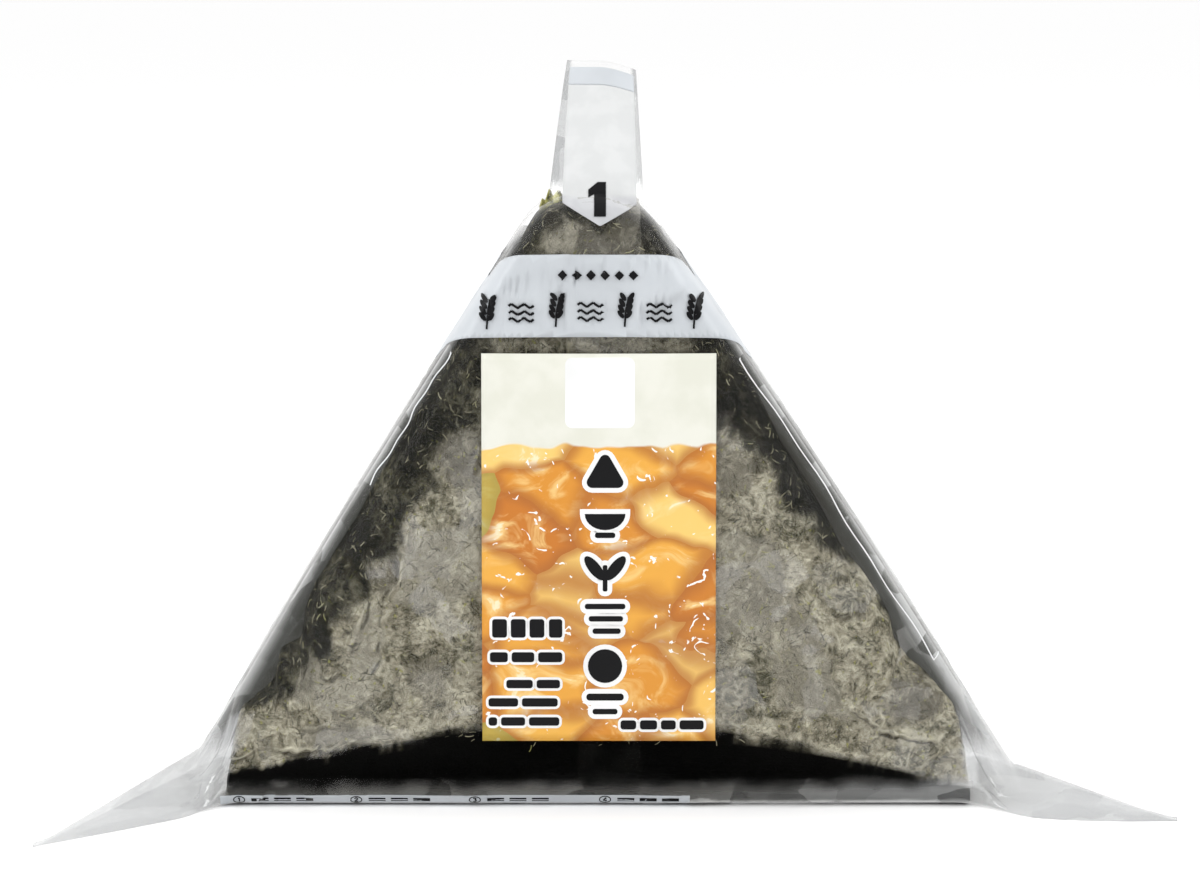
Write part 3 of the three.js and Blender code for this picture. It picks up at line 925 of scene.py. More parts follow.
def film_dip(x, y, z):
    place = Vector((x, y, z))
    bent = place + 2.5 * noise.noise_vector(place / 9.0)
    broad = facet_dip(bent, BROAD_FACET, 0.20)
    small = facet_dip(bent + Vector((50.0, 0.0, 0.0)), SMALL_FACET, 0.17)
    fine = abs(noise.noise(place / 2.2))
    depth = 0.12 + 0.7 * broad + 0.5 * small + 0.06 * fine
    if y < 0.0:
        under_label = smoothstep(STUCK_HALF_WIDTH - abs(x), 0.0, 3.0)
        under_label *= smoothstep(STUCK_HALF_HEIGHT - abs(z - STUCK_MIDDLE), 0.0, 4.0)
        depth *= 1.0 - STUCK_CALM * under_label
    return min(max(depth, 0.0), FILM_DEEPEST_DIP)


def thin_film(tree, cover, shader):
    clear = add_node(tree, "ShaderNodeBsdfTransparent")
    finish_material(tree, add_node(tree, "ShaderNodeMixShader", {
        0: cover, 1: clear.outputs[0], 2: shader.outputs[0]}))


def film_finish():
    material, tree = new_material("clear_film")
    place = millimetres(tree)
    lit = painted(tree, "lit")
    ear = painted(tree, "ear")
    foot = painted(tree, "foot")
    cells = cell_tone(tree, bent_place(tree, place, 0.12, 7.0), 0.17)
    sharp = range_node(tree, cells, 0.25, 0.9)
    facing = add_node(tree, "ShaderNodeLayerWeight", {"Blend": 0.5}).outputs["Facing"]
    shown = math_node(tree, "MAXIMUM", math_node(tree, "MAXIMUM", lit, ear), painted(tree, "rim"))
    edge = math_node(tree, "POWER", facing, 3.2)
    edge = scaled_by(tree, edge, range_node(tree, shown, 0.0, 0.8, 0.12, 0.5))
    # Painted reflection: the film is hazier where it mirrors the bright table; the ear and foot haze is the
    # film's own.
    lit_haze = scaled_by(tree, lit, scaled_by(tree, sharp, 0.11))
    ear_haze = scaled_by(tree, ear, range_node(tree, sharp, 0.0, 1.0, 0.22, 0.38))
    foot_haze = scaled_by(tree, foot, range_node(tree, sharp, 0.0, 1.0, 0.45, 0.85))
    haze_and_sheen = math_node(tree, "ADD", math_node(tree, "ADD", lit_haze, ear_haze), foot_haze)
    cover = math_node(tree, "ADD", math_node(tree, "ADD", edge, 0.02), haze_and_sheen, clamp=True)
    # The film is kept clear over the painted shade along the foot.
    undercut_shade_zone = scaled_by(tree, painted(tree, "undercut_shade"), math_node(tree, "SUBTRACT", 1.0, foot))
    cover = math_node(tree, "MULTIPLY", cover, math_node(tree, "SUBTRACT", 1.0, undercut_shade_zone), clamp=True)
    tone = colour_mix(tree, ear, (0.80, 0.79, 0.77), (0.59, 0.60, 0.605))
    tone = colour_mix(tree, range_node(tree, ear, 1.1, 1.5), tone, (0.46, 0.47, 0.475))
    tone = colour_mix(tree, foot, tone, ramp_node(tree, foot, [
        (0.2, (0.075, 0.068, 0.045)), (0.7, (0.17, 0.163, 0.135)), (1.0, (0.30, 0.30, 0.285))]))
    to_right = range_node(tree, axis_of(tree, place, "X"), 12.0, 44.0)
    right_foot = scaled_by(tree, range_node(tree, foot, 0.1, 0.6), to_right)
    tone = colour_mix(tree, right_foot, tone, (0.45, 0.455, 0.45))
    thin_film(tree, cover, surface_shader(tree, tone, Metallic=0.4, Roughness=0.12))
    return material


film_places = []
for i in range(FILM_BODY_STEPS + 1):
    film_places.append(mix(-EAR_BLEND_START, EAR_BLEND_START, i / FILM_BODY_STEPS))
for i in range(1, FILM_EAR_STEPS + 1):
    film_places.append(mix(-EAR_BLEND_START, LEFT_EAR["tip"][0], i / FILM_EAR_STEPS))
    film_places.append(mix(EAR_BLEND_START, RIGHT_EAR["tip"][0], i / FILM_EAR_STEPS))
film_places.sort()
film_rings = [film_ring(x) for x in film_places]
film_points = np.array([p for ring in film_rings for p in ring])
film_material = film_finish()
film = make_piece("film", film_points, loft_faces(len(film_rings), len(film_rings[0])), film_material)
ring_height = np.array([max(p[2] for p in ring) for ring in film_rings])
ring_size = len(film_rings[0])
dips = np.array([film_dip(*p) for p in film_points])
dips *= np.clip(np.repeat(ring_height, ring_size) / 6.0, 0.1, 1.0) * smoothstep(film_points[:, 2], 0.0, 1.2)
dips *= mix(0.3, 1.0, smoothstep(slant_distance(film_points), 0.5, 3.5))
move_points(film.data, -mesh_normals(film.data) * dips[:, None])
settled_film = mesh_points(film.data)
for i, place in enumerate(settled_film):
    nearest, outward, _, _ = seaweed_surface.find_nearest(Vector(place), 1.5)
    if nearest is not None and (Vector(place) - nearest).dot(outward) < FILM_CLEARANCE:
        settled_film[i] = nearest + outward * FILM_CLEARANCE
move_points(film.data, settled_film - mesh_points(film.data))
ragged = noise_at(film_points, 3.0)
within_ends = 1.0 - smoothstep(np.abs(film_points[:, 0]), PACK_HALF_WIDTH, PACK_HALF_WIDTH + 1.0)
lean_in = SEAWEED_END_LEAN * (SEAWEED_LEAN_HEIGHT - film_points[:, 2])
ear_reach = smoothstep(np.abs(film_points[:, 0]) - lean_in, 46.4, 47.6)
foot_rise = 0.6 * ragged + 0.7 * smoothstep(film_points[:, 0], 16.0, 46.0)
for mask_name, share in (
        ("lit", lit_share(film_points) * within_ends),
        ("rim", 1.0 - smoothstep(slant_distance(film_points), 0.2, 1.5)),
        ("ear", ear_reach * (1.0 - smoothstep(film_points[:, 2] + 5.0 * ragged, 9.0, 16.0))),
        ("foot", (1.0 - smoothstep(film_points[:, 2] - foot_rise, 1.2, 4.0)) * within_ends),
        ("undercut_shade", undercut_shade_share(film_points) * within_ends)):
    paint_points(film.data, mask_name, share)
film_surface = surface_of(film)
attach(film, "root")
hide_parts("wrapper")


# The pull flap
# The film's two ends are sealed together at the peak and stand up as a strip,
# bowed towards the front and leaning back. Its right top corner droops.

FLAP_FOOT = (-0.5, -8.4, 71.0)
FLAP_LENGTH = 28.0
FLAP_FOOT_HALF_WIDTH = 6.7
FLAP_TOP_HALF_WIDTH = 4.5
FLAP_TOP_SHIFT = 0.9
FLAP_LEAN = math.radians(8.0)
FLAP_EXTRA_LEAN = math.radians(20.0)
FLAP_BOW = 1.5
FLAP_CORNER_DROOP = 1.7
FLAP_FOOT_FORWARD = 4.2
FLAP_START = 0.17
FLAP_FILM_THICKNESS = 0.12
FLAP_COLUMNS = 24
FLAP_ROWS = 40
PRINT_LEFT = (-0.68, -0.90)
PRINT_RIGHT = (0.84, 0.93)


def flap_point(u, t):
    length = 1.0 - FLAP_CORNER_DROOP / FLAP_LENGTH * max(u, 0.0) ** 1.5
    t = mix(FLAP_START, 1.0, t) * length
    lean = FLAP_LEAN + FLAP_EXTRA_LEAN * t
    half_width = mix(FLAP_FOOT_HALF_WIDTH, FLAP_TOP_HALF_WIDTH, t)
    ripple = 0.12 * math.sin(9.0 * t + 2.5 * u)
    z = FLAP_FOOT[2] + FLAP_LENGTH * t * math.cos(lean)
    forward = FLAP_FOOT_FORWARD * (1.0 - smoothstep(z, 79.0, 90.0)) - ripple
    return (
        FLAP_FOOT[0] + FLAP_TOP_SHIFT * t + half_width * u,
        FLAP_FOOT[1] + FLAP_LENGTH * t * math.sin(lean) + FLAP_BOW * u * u - forward,
        z,
    )


flap = strip_piece("pull_flap", lambda a, b: flap_point(2 * a - 1, b), FLAP_COLUMNS, FLAP_ROWS,
                   FLAP_FILM_THICKNESS, film_material)
flap_along = np.repeat(np.linspace(0.0, 1.0, FLAP_ROWS + 1), 2 * (FLAP_COLUMNS + 1))
across_back = np.linspace(-1.0, 1.0, FLAP_COLUMNS + 1)
flap_across = np.tile(np.append(across_back, across_back[::-1]), FLAP_ROWS + 1)
beside_print = np.maximum(mix(*PRINT_LEFT, flap_along) - flap_across,
                          flap_across - mix(*PRINT_RIGHT, flap_along))
flap_haze = mix(0.2, 1.6, smoothstep(beside_print, -0.08, 0.0))
paint_points(flap.data, "ear", flap_haze * smoothstep(mesh_points(flap.data)[:, 2], 78.6, 81.4))
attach(flap, "root")
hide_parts("wrapper")


# The side folds
# Along both slanted sides the spare film is folded in several layers beside
# the seaweed. Together they look grey; the darkening the deeper they lie is
# painted shade.

FOLD_LOW = 5.0
FOLD_HIGH = 73.6
FOLD_REACH = 8.5
FOLD_RIM_GAP = 0.4
FOLD_SETBACK = 3.6
FOLD_COLUMNS = 24
FOLD_ROWS = 90
FOLD_THICKNESS = 0.12
FOLD_COVER = 0.93


def outline_x(z, side):
    places = np.linspace(PEAK_X, side * 53.0, 400)
    heights = np.array([outline_height(x) for x in places])
    return float(np.interp(-z, -heights, places))


def folds_finish():
    material, tree = new_material("side_folds")
    cells = cell_tone(tree, bent_place(tree, millimetres(tree), 0.15, 5.0), 0.22)
    shifted = math_node(tree, "ADD", painted(tree, "rim"), range_node(tree, cells, 0.0, 1.0, -0.10, 0.10))
    # Painted shade: the film's grey turns near black the deeper the fold lies inside the outline.
    tone = ramp_node(tree, shifted, [
        (0.06, (0.60, 0.61, 0.61)), (0.18, (0.36, 0.365, 0.36)), (0.28, (0.19, 0.193, 0.185)),
        (0.38, (0.085, 0.087, 0.080)), (0.62, (0.058, 0.058, 0.050)), (1.0, (0.040, 0.040, 0.032))])
    shader = surface_shader(tree, tone, Roughness=0.3, Specular_IOR_Level=0.15)
    thin_film(tree, scaled_by(tree, painted(tree, "fade"), FOLD_COVER), shader)
    return material


def fold_point(side, front, a, b):
    z = mix(FOLD_LOW, FOLD_HIGH, b)
    across = a if side < 0 else 1.0 - a
    x = outline_x(z, side) - side * (FOLD_RIM_GAP + FOLD_REACH * across)
    wave = 0.25 * noise.noise(Vector((x, z, side)) / 5.0)
    return (x, front * (half_depth(z) - FOLD_SETBACK) + wave, z)


folds_material = folds_finish()
for side, front, fold_name in ((-1, -1, "left_front_fold"), (1, -1, "right_front_fold"),
                               (-1, 1, "left_back_fold"), (1, 1, "right_back_fold")):
    fold = strip_piece(fold_name, lambda a, b: fold_point(side, front, a, b), FOLD_COLUMNS, FOLD_ROWS,
                       FOLD_THICKNESS, folds_material)
    fold_places = mesh_points(fold.data)
    fold_height = fold_places[:, 2]
    fold_depth = slant_distance(fold_places) / 4.0 * mix(0.75, 1.45, smoothstep(fold_height, 20.0, 42.0))
    fade = smoothstep(fold_height, FOLD_LOW, FOLD_LOW + 9.0)
    fade *= 1.0 - 0.7 * smoothstep(fold_height, 69.0, FOLD_HIGH)
    paint_points(fold.data, "rim", np.clip(fold_depth, 0.0, 1.0))
    paint_points(fold.data, "fade", fade)
    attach(fold, "root")
    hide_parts("wrapper")


# The print on the film
# Pale grey and white ink, printed on the flat film before it is folded, so a
# level band runs down over the slanted sides once it is wrapped.

FOLD_DROP = 0.30
BAND_TOP = 71.6
BAND_BOTTOM = 60.8
BAND_HALF_DEPTH = 13.5
PRINT_LIFT = 0.05
PRINT_THICKNESS = 0.03
FOOT_LINE_TOP = 1.55
FOOT_LINE_BOTTOM = 0.12
FOOT_LINE_LEFT = -49.0
FOOT_LINE_RIGHT = 11.9


def ink_finish(name, colour, gloss=0.4):
    material, tree = new_material(name)
    cloud = noise_value(tree, millimetres(tree), 0.12, 3.0)
    darker = tuple(c * 0.90 for c in colour)
    tone = colour_mix(tree, range_node(tree, cloud, 0.3, 0.7), darker, colour)
    finish_material(tree, surface_shader(tree, tone, Roughness=0.35, Specular_IOR_Level=gloss))
    return material


grey_ink = ink_finish("grey_ink", (0.575, 0.605, 0.635))
white_ink = ink_finish("white_ink", (0.77, 0.78, 0.785))
black_ink = ink_finish("black_ink", (0.008, 0.008, 0.009), 0.12)


# A piece cut out of the film's own surface by planes.
def film_patch(cuts):
    form = bmesh.new()
    form.from_mesh(film.data)
    for point, keep_side in cuts:
        everything = form.verts[:] + form.edges[:] + form.faces[:]
        bmesh.ops.bisect_plane(form, geom=everything, plane_co=Vector(point) * MM,
                               plane_no=Vector(keep_side).normalized(), clear_inner=True)
    return form


def thin_layer(name, form, material, thickness):
    mesh = bpy.data.meshes.new(name)
    form.to_mesh(mesh)
    form.free()
    mesh.materials.clear()
    mesh.materials.append(material)
    piece = new_object(name, mesh)
    thicken = piece.modifiers.new("thickness", "SOLIDIFY")
    thicken.thickness = thickness * MM
    thicken.offset = -1.0
    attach(piece, "root")
    return piece


def printed_piece(name, forms, material, lift=PRINT_LIFT):
    carrier = bpy.data.meshes.new(name + "_patch")
    joined = bmesh.new()
    for form in forms:
        form.to_mesh(carrier)
        joined.from_mesh(carrier)
        form.free()
    bpy.data.meshes.remove(carrier)
    bmesh.ops.remove_doubles(joined, verts=joined.verts, dist=1e-7)
    joined.normal_update()
    outward = [v.normal.copy() for v in joined.verts]
    for v, normal in zip(joined.verts, outward):
        v.co += normal * lift * MM
    return thin_layer(name, joined, material, PRINT_THICKNESS)


grey_band = printed_piece("grey_band", [film_patch([
    ((0, 0, 0), (0, side, 0)),
    ((0, side * BAND_HALF_DEPTH, BAND_TOP), (0, side * FOLD_DROP, -1)),
    ((0, side * BAND_HALF_DEPTH, BAND_BOTTOM), (0, -side * FOLD_DROP, 1)),
]) for side in (-1, 1)], grey_ink)
foot_print = printed_piece("foot_print", [film_patch([
    ((0, 0, 0), (0, -1, 0)),
    ((0, 0, FOOT_LINE_TOP), (0, 0, -1)),
    ((0, 0, FOOT_LINE_BOTTOM), (0, 0, 1)),
    ((FOOT_LINE_LEFT, 0, 0), (1, 0, 0)),
    ((FOOT_LINE_RIGHT, 0, 0), (-1, 0, 0)),
])], grey_ink)


RAY_START = -60.0
RAY_NUDGES = (0.0, 0.004, -0.007, 0.02, -0.05, 0.1)


# The foremost surface at a place seen from the front; a ray along a seam is nudged.
def front_touch(surfaces, x, z):
    for nudge in RAY_NUDGES:
        hits = []
        for surface in surfaces:
            start = Vector((x + nudge, RAY_START, z - nudge))
            touch, outward, _, _ = surface.ray_cast(start, Vector((0, 1, 0)))
            if touch is not None:
                hits.append((touch, outward if outward.y < 0 else -outward))
        if hits:
            return min(hits, key=lambda hit: hit[0].y)
    return None, None


TAB_TIP = (0.27, 75.2)
TAB_SHOULDER_SHARE = 0.2
TAB_SHOULDER_PLACE = 0.11
TAB_GREY_START = 0.84
TAB_END = 0.955
TAB_COLUMNS = 24
TAB_ROWS = 60
TAB_END_ROWS = 10
TAB_LIFT = 0.09


def tab_place(a, b):
    if b >= TAB_SHOULDER_SHARE:
        t = mix(TAB_SHOULDER_PLACE, 1.0, (b - TAB_SHOULDER_SHARE) / (1.0 - TAB_SHOULDER_SHARE))
        u = mix(mix(*PRINT_LEFT, t), mix(*PRINT_RIGHT, t), a)
        return flap_point(u, t)
    left, right = tab_place(0.0, TAB_SHOULDER_SHARE), tab_place(1.0, TAB_SHOULDER_SHARE)
    share = b / TAB_SHOULDER_SHARE
    side = mix(left[0], right[0], a)
    height = mix(left[2], right[2], a)
    return (mix(TAB_TIP[0], side, share), left[1], mix(TAB_TIP[1], height, share))


def tab_point(low, high):
    def point(a, b):
        x, y, z = tab_place(a, mix(low, high, b))
        touch, _ = front_touch([film_surface], x, z)
        if touch is not None:
            y = min(y, touch.y)
        return (x, y - TAB_LIFT, z)
    return point


def tab_finish():
    material, tree = new_material("tab_ink")
    place = millimetres(tree)
    above_painted_shade = range_node(tree, axis_of(tree, place, "Z"), 78.3, 79.2)
    cloud = range_node(tree, noise_value(tree, place, 0.3, 3.0), 0.4, 0.62, 0.0, 0.12)
    # Painted shade: the print is greyer below the tab's tip, where it bends over the film's rounded top.
    tone = colour_mix(tree, above_painted_shade, (0.51, 0.517, 0.535), (0.63, 0.64, 0.64))
    tone = colour_mix(tree, cloud, tone, (0.95, 0.95, 0.95))
    finish_material(tree, surface_shader(tree, tone, Roughness=0.45, Specular_IOR_Level=0.2))
    return material


tab_print = strip_piece("tab_white_print", tab_point(0.004, TAB_GREY_START), TAB_COLUMNS, TAB_ROWS,
                        PRINT_THICKNESS, tab_finish())
tab_end = strip_piece("tab_grey_print", tab_point(TAB_GREY_START, TAB_END), TAB_COLUMNS, TAB_END_ROWS,
                      PRINT_THICKNESS, grey_ink)
for printed in (tab_print, tab_end):
    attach(printed, "root")


STAMP_THICKNESS = 0.02
STAMP_MOST_DEPTH = 2.0


# Flat outlines cut into a grid, dropped on a surface and given a thickness.
def stamp(name, outlines, surfaces, material, lift, step, thickness=STAMP_THICKNESS):
    form = bmesh.new()
    for outline in outlines:
        form.faces.new([form.verts.new((p[0], 0.0, p[1])) for p in outline])
    for axis in (0, 2):
        normal = (1, 0, 0) if axis == 0 else (0, 0, 1)
        values = [v.co[axis] for v in form.verts]
        cut = math.floor(min(values) / step) * step
        while cut < max(values):
            everything = form.verts[:] + form.edges[:] + form.faces[:]
            bmesh.ops.bisect_plane(form, geom=everything, plane_co=Vector(normal) * cut, plane_no=normal)
            cut += step
    bmesh.ops.triangulate(form, faces=form.faces)
    for v in form.verts:
        touch, outward = front_touch(surfaces, v.co.x, v.co.z)
        if touch is None:
            touch, outward = Vector((v.co.x, -half_depth(v.co.z), v.co.z)), Vector((0.0, -1.0, 0.0))
        v.co = (touch + outward * lift) * MM
    stretched = [f for f in form.faces if np.ptp([v.co.y for v in f.verts]) > STAMP_MOST_DEPTH * MM]
    bmesh.ops.delete(form, geom=stretched, context="FACES")
    form.normal_update()
    for face in form.faces:
        if face.normal.y > 0:
            face.normal_flip()
    return thin_layer(name, form, material, thickness)


def line_outlines(path, width):
    outlines = []
    for start, end in zip(path[:-1], path[1:]):
        start, end = np.array(start), np.array(end)
        along = end - start
        across = np.array((-along[1], along[0])) / np.linalg.norm(along) * width / 2.0
        outlines.append([tuple(p) for p in (start - across, end - across, end + across, start + across)])
    return outlines


FRAME_LINE_WIDTH = 0.14
FRAME_STEPS = 24
FRAME_INSET = 1.25


def frame_path(side, low, high):
    path = [(outline_x(high, side) - side * 0.55, high + 0.35)]
    for i in range(FRAME_STEPS + 1):
        z = mix(high, low, i / FRAME_STEPS)
        wander = 0.12 * math.sin(1.1 * i) + 0.15 * math.sin(0.45 * i + 1)
        inset = FRAME_INSET + 0.35 * i / FRAME_STEPS + wander
        path.append((outline_x(z, side) - side * inset, z))
    if side > 0:
        path.append((outline_x(low, side) - 0.75, low + 0.6))
    return path


frame_lines = line_outlines(frame_path(-1, 42.0, 59.0), FRAME_LINE_WIDTH)
frame_lines += line_outlines(frame_path(1, 19.3, 58.2), FRAME_LINE_WIDTH)
stamp("side_frames", frame_lines, [film_surface], white_ink, 0.09, 0.7)


NUMERAL_STROKES = {
    "1": [(0.25, 0.78), (0.55, 1.0), (0.55, 0.0)],
    "2": [(0.1, 0.75), (0.3, 0.98), (0.7, 0.98), (0.9, 0.72), (0.1, 0.04), (0.92, 0.04)],
    "3": [(0.1, 0.92), (0.5, 1.0), (0.85, 0.78), (0.5, 0.55), (0.88, 0.28), (0.5, 0.0), (0.1, 0.08)],
    "4": [(0.7, 0.0), (0.7, 1.0), (0.08, 0.3), (0.95, 0.3)],
}


def numeral_outlines(numeral, middle, width, height, weight):
    path = [(middle[0] + (p[0] - 0.5) * width, middle[1] + (p[1] - 0.5) * height)
            for p in NUMERAL_STROKES[numeral]]
    return line_outlines(path, weight)


FOOT_MARK_HEIGHT = 0.86
FOOT_RING = (0.72, 0.52)
FOOT_NUMERAL = (0.55, 0.62)
FOOT_BAR_LENGTH = 2.2
FOOT_BAR_LOW = 0.62
FOOT_BAR_HIGH = 1.1

foot_marks = []
for numeral, x in (("1", -46.6), ("2", -31.4), ("3", -16.0), ("4", 0.9)):
    ring = []
    for i in range(21):
        angle = i * math.pi / 10
        ring.append((x + FOOT_RING[0] * math.cos(angle), FOOT_MARK_HEIGHT + FOOT_RING[1] * math.sin(angle)))
    foot_marks += line_outlines(ring, 0.14)
    foot_marks += numeral_outlines(numeral, (x, FOOT_MARK_HEIGHT), *FOOT_NUMERAL, 0.16)
    for k in range(3):
        left = x + 1.6 + 2.9 * k
        right = left + FOOT_BAR_LENGTH
        foot_marks.append([(left, FOOT_BAR_LOW), (right, FOOT_BAR_LOW),
                           (right, FOOT_BAR_HIGH), (left, FOOT_BAR_HIGH)])
stamp("foot_numerals", foot_marks, [surface_of(foot_print), film_surface], black_ink, 0.04, 0.6)

STEP_ONE_PLACE = (0.25, 78.5)
big_one = [(-0.75, -2.1), (0.75, -2.1), (0.75, 2.1), (-0.3, 2.1), (-1.5, 1.15), (-1.5, 0.2), (-0.75, 0.6)]
big_one = [(p[0] + STEP_ONE_PLACE[0], p[1] + STEP_ONE_PLACE[1]) for p in big_one]
stamp("step_one", [big_one], [surface_of(tab_print)], black_ink, 0.08, 0.35)


def oval(middle, half_width, half_height, turn=0.0, count=28):
    points = []
    for i in range(count):
        angle = 2.0 * math.pi * i / count
        a = half_width * math.cos(angle)
        b = half_height * math.sin(angle)
        points.append((middle[0] + a * math.cos(turn) - b * math.sin(turn),
                       middle[1] + a * math.sin(turn) + b * math.cos(turn)))
    return points


def rice_ear(x, z, lean):
    outlines = line_outlines([(x, z - 1.9), (x + 0.25 * lean, z), (x + lean, z + 1.9)], 0.26)
    for row in range(4):
        base = (x + lean * (0.05 + 0.12 * row ** 1.4), z - 0.5 + 0.75 * row)
        for side in (-1, 1):
            outlines.append(oval((base[0] + side * 0.52, base[1] + 0.2), 0.3, 0.62, side * -0.6))
    return outlines


def ripples(x, z):
    outlines = []
    for row in range(3):
        path = []
        for i in range(9):
            path.append((x + mix(-1.6, 1.6, i / 8), z + 0.9 - 0.9 * row + 0.28 * math.sin(1.6 * i)))
        outlines += line_outlines(path, 0.3)
    return outlines


BAND_MARKS = 7
BAND_MARK_LEFT = -14.2
BAND_MARK_RIGHT = 12.2
BAND_MARK_HEIGHT = 64.4
BAND_DIAMONDS = 6
BAND_DIAMOND_REACH = 4.5
BAND_DIAMOND_HEIGHT = 69.0

band_marks = []
for i in range(BAND_MARKS):
    x = mix(BAND_MARK_LEFT, BAND_MARK_RIGHT, i / (BAND_MARKS - 1))
    z = BAND_MARK_HEIGHT - 0.45 * (x / 14.6) ** 2
    band_marks += rice_ear(x, z, 0.5) if i % 2 == 0 else ripples(x, z)
for i in range(BAND_DIAMONDS):
    x = mix(-BAND_DIAMOND_REACH, BAND_DIAMOND_REACH, i / (BAND_DIAMONDS - 1))
    band_marks.append(oval((x, BAND_DIAMOND_HEIGHT), 0.62, 0.62, 0.0, 4))
stamp("band_sprigs", band_marks, [surface_of(grey_band), film_surface], black_ink, 0.2, 0.25)


# The tear strip
# A strip of thicker film runs down the middle of the front, under the base and
# up the back. Pulled down by the flap, it cuts the film open.

TEAR_LEFT = -2.6
TEAR_RIGHT = 5.4
TEAR_LIFT = 0.03


def tear_finish():
    material, tree = new_material("tear_film")
    place = millimetres(tree)
    cloud = range_node(tree, noise_value(tree, place, 0.25, 3.0), 0.35, 0.65, 0.01, 0.06)
    sheen = math_node(tree, "ADD", cloud, scaled_by(tree, painted(tree, "rim"), 0.3))
    cover = scaled_by(tree, sheen, range_node(tree, axis_of(tree, place, "Z"), 55.0, 66.0, 0.12, 1.0))
    thin_film(tree, cover, surface_shader(tree, (0.60, 0.58, 0.52, 1), Metallic=0.2, Roughness=0.25))
    return material


printed_piece("tear_strip", [film_patch([
    ((TEAR_LEFT, 0, 0), (1, 0, 0)), ((TEAR_RIGHT, 0, 0), (-1, 0, 0)),
])], tear_finish(), TEAR_LIFT)


# The sticker
# A paper sticker, printed and lightly varnished, stuck flat on the front.

LABEL_HALF_WIDTH = 15.0
LABEL_BOTTOM = 9.1
LABEL_TOP = 59.1
LABEL_X = 0.1
LABEL_LIFT = 0.12
LABEL_THICKNESS = 0.1
LABEL_COLUMNS = 30
LABEL_ROWS = 50
COLUMN_X = 0.9
LABEL_WHITE_BORDER = 0.62
LABEL_SMALL_BORDER = 0.34
LABEL_INK_THICKNESS = 0.015
LABEL_INK_STEP = 1.5


def label_point(a, b):
    x = LABEL_X + mix(-LABEL_HALF_WIDTH, LABEL_HALF_WIDTH, a)
    z = mix(LABEL_BOTTOM, LABEL_TOP, b)
    return (x, -half_depth(z) - crown(x, z) - LABEL_LIFT - LABEL_THICKNESS, z)


def label_finish():
    material, tree = new_material("label_print")
    place = millimetres(tree)
    bent = bent_place(tree, place, 0.12, 5.0)
    squeezed = vector_math(tree, "MULTIPLY", bent, (0.75, 0.0, 1.15))
    chunks = add_node(tree, "ShaderNodeTexVoronoi", {"Vector": squeezed, "Scale": 0.115}, feature="F1")
    rims = add_node(tree, "ShaderNodeTexVoronoi", {"Vector": squeezed, "Scale": 0.115},
                    feature="DISTANCE_TO_EDGE")
    kind = add_node(tree, "ShaderNodeSeparateColor", {"Color": chunks.outputs["Color"]})
    amber = ramp_node(tree, kind.outputs[0], [
        (0.1, (0.58, 0.19, 0.02)), (0.4, (0.77, 0.33, 0.035)), (0.65, (0.86, 0.45, 0.07)),
        (0.9, (0.90, 0.60, 0.17))])
    streaks = noise_value(tree, squeezed, 0.22, 4.0, 0.6, 1.0)
    amber = colour_mix(tree, range_node(tree, streaks, 0.46, 0.66, 0.0, 0.8), amber, (0.93, 0.66, 0.26))
    amber = colour_mix(tree, range_node(tree, streaks, 0.62, 0.69, 0.0, 0.8), amber, (0.95, 0.86, 0.62))
    shade = range_node(tree, rims.outputs["Distance"], 0.0, 0.16, 0.75, 0.0)
    amber = colour_mix(tree, shade, amber, (0.42, 0.13, 0.02))
    glint = range_node(tree, noise_value(tree, place, 0.55, 2.0, 0.5, 1.5), 0.66, 0.69)
    amber = colour_mix(tree, glint, amber, (0.98, 0.96, 0.90))
    leek = range_node(tree, kind.outputs[1], 0.86, 0.88)
    amber = colour_mix(tree, scaled_by(tree, leek, 0.7), amber, (0.38, 0.36, 0.07))
    cloud = range_node(tree, noise_value(tree, place, 0.2, 3.0), 0.35, 0.65)
    paper = colour_mix(tree, cloud, (0.746, 0.748, 0.655), (0.804, 0.802, 0.719))
    tone = colour_mix(tree, range_node(tree, axis_of(tree, bent, "Z"), 47.2, 47.6), amber, paper)
    finish_material(tree, surface_shader(tree, tone, Roughness=0.38, Specular_IOR_Level=0.4))
    return material


paper_white = ink_finish("paper_white", (0.93, 0.935, 0.93))
label = strip_piece("label_sheet", label_point, LABEL_COLUMNS, LABEL_ROWS, LABEL_THICKNESS, label_finish())
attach(label, "root")
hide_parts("label")


def rounded_box(left, low, right, high, radius, grow=0.0):
    left, low, right, high = left - grow, low - grow, right + grow, high + grow
    radius = min(radius + grow, (right - left) / 2.001, (high - low) / 2.001)
    points = []
    for cx, cz, begin in ((right - radius, high - radius, 0), (left + radius, high - radius, 1),
                          (left + radius, low + radius, 2), (right - radius, low + radius, 3)):
        for k in range(5):
            angle = (begin + k / 4) * math.pi / 2
            points.append((cx + radius * math.cos(angle), cz + radius * math.sin(angle)))
    return points


def rounded_triangle(middle, size, grow):
    points = []
    for corner in range(3):
        towards = math.radians(90 + 120 * corner)
        cx = middle[0] + size * math.cos(towards)
        cz = middle[1] + size * math.sin(towards)
        for k in range(7):
            angle = towards + math.radians(-60 + 20 * k)
            points.append((cx + (0.7 + grow) * math.cos(angle), cz + (0.7 + grow) * math.sin(angle)))
    return points


def bowl(middle, width, grow):
    points = []
    for i in range(15):
        angle = math.pi + math.pi * i / 14
        points.append((middle[0] + (width + grow) * math.cos(angle),
                       middle[1] + (0.8 * width + grow) * math.sin(angle)))
    points.append((middle[0] + width + grow, middle[1] + grow))
    points.append((middle[0] - width - grow, middle[1] + grow))
    return points


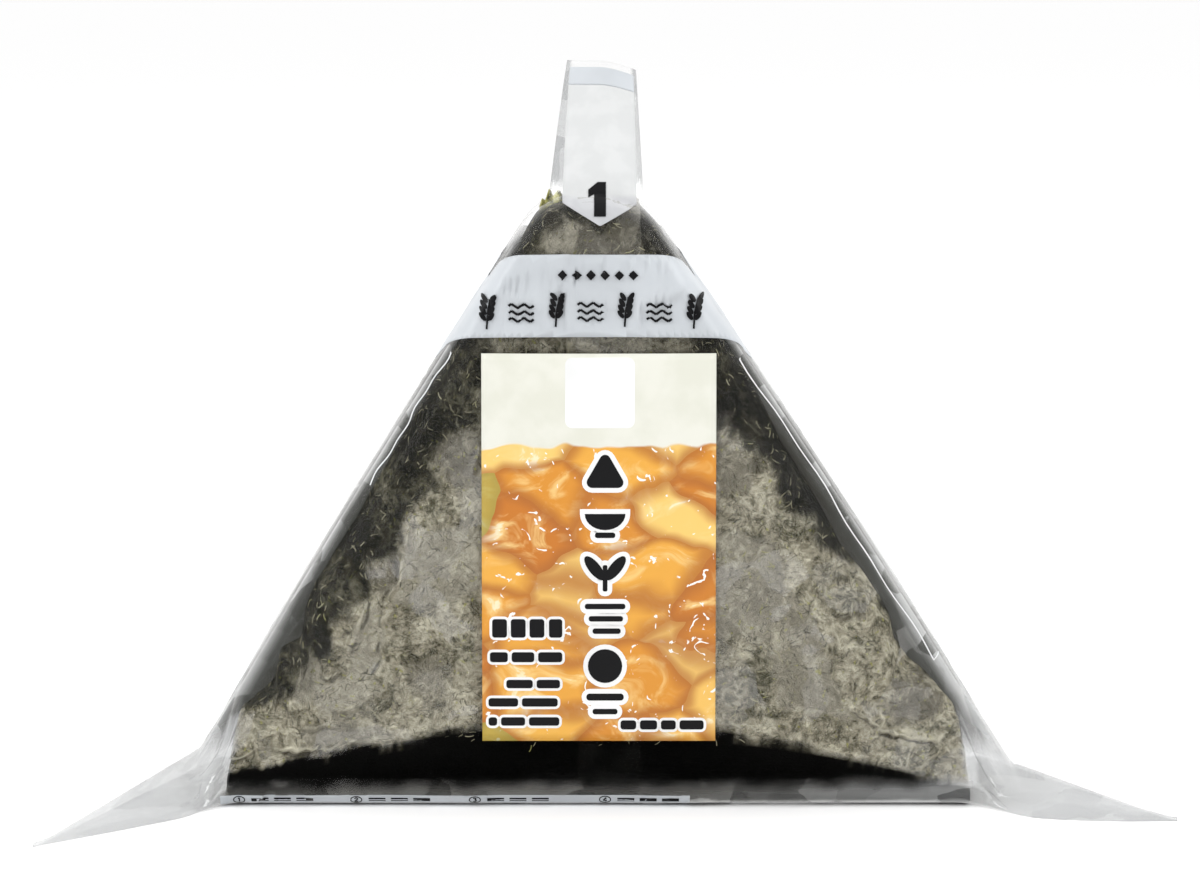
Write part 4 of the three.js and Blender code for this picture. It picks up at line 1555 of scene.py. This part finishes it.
def column_marks(grow):
    x = COLUMN_X
    marks = [rounded_triangle((x, 43.6), 1.9, grow)]
    marks.append(bowl((x, 38.6), 2.6, grow))
    marks.append(rounded_box(x - 1.3, 35.5, x + 1.3, 36.2, 0.3, grow))
    for side in (-1, 1):
        marks.append(oval((x + side * 1.35, 31.6), 1.9 + grow, 0.75 + grow, side * 0.9))
    marks.append(rounded_box(x - 0.3, 28.6, x + 0.3, 32.0, 0.2, grow))
    for row in range(3):
        marks.append(rounded_box(x - 2.6 + 0.5 * row, 26.3 - 1.6 * row, x + 2.6 - 0.3 * row, 27.0 - 1.6 * row,
                                 0.3, grow))
    marks.append(oval((x, 18.9), 2.2 + grow, 2.2 + grow))
    marks.append(rounded_box(x - 2.4, 14.4, x + 2.4, 15.3, 0.4, grow))
    marks.append(rounded_box(x - 1.6, 12.6, x + 1.6, 13.3, 0.3, grow))
    return marks


def small_rows(grow):
    marks = []
    rows = [
        (22.6, 2.4, [(-13.6, -11.7), (-11.2, -9.3), (-8.8, -6.9), (-6.3, -4.6)]),
        (19.4, 1.3, [(-13.9, -11.6), (-11.1, -8.2), (-7.7, -4.6)]),
        (16.0, 1.1, [(-11.8, -8.4), (-7.9, -4.9)]),
        (13.6, 1.1, [(-14.1, -10.3), (-9.8, -5.2)]),
        (11.1, 1.1, [(-14.1, -13.0), (-12.5, -9.4), (-8.9, -5.0)]),
        (10.6, 1.2, [(2.9, 4.9), (5.4, 7.6), (8.1, 10.0), (10.5, 13.6)]),
    ]
    for low, height, blocks in rows:
        for left, right in blocks:
            marks.append(rounded_box(left, low, right, low + height, 0.35, grow))
    return marks


label_surface = surface_of(label)
label_stamps = (
    ("label_white_field", [rounded_box(-4.2, 49.6, 4.7, 58.6, 0.9)], paper_white, 0.02),
    ("label_white_outlines", column_marks(LABEL_WHITE_BORDER) + small_rows(LABEL_SMALL_BORDER),
     paper_white, 0.02),
    ("label_black_marks", column_marks(0.0) + small_rows(0.0), black_ink, 0.045),
)
for name, outlines, ink, lift in label_stamps:
    stamp(name, outlines, [label_surface], ink, lift, LABEL_INK_STEP, LABEL_INK_THICKNESS)
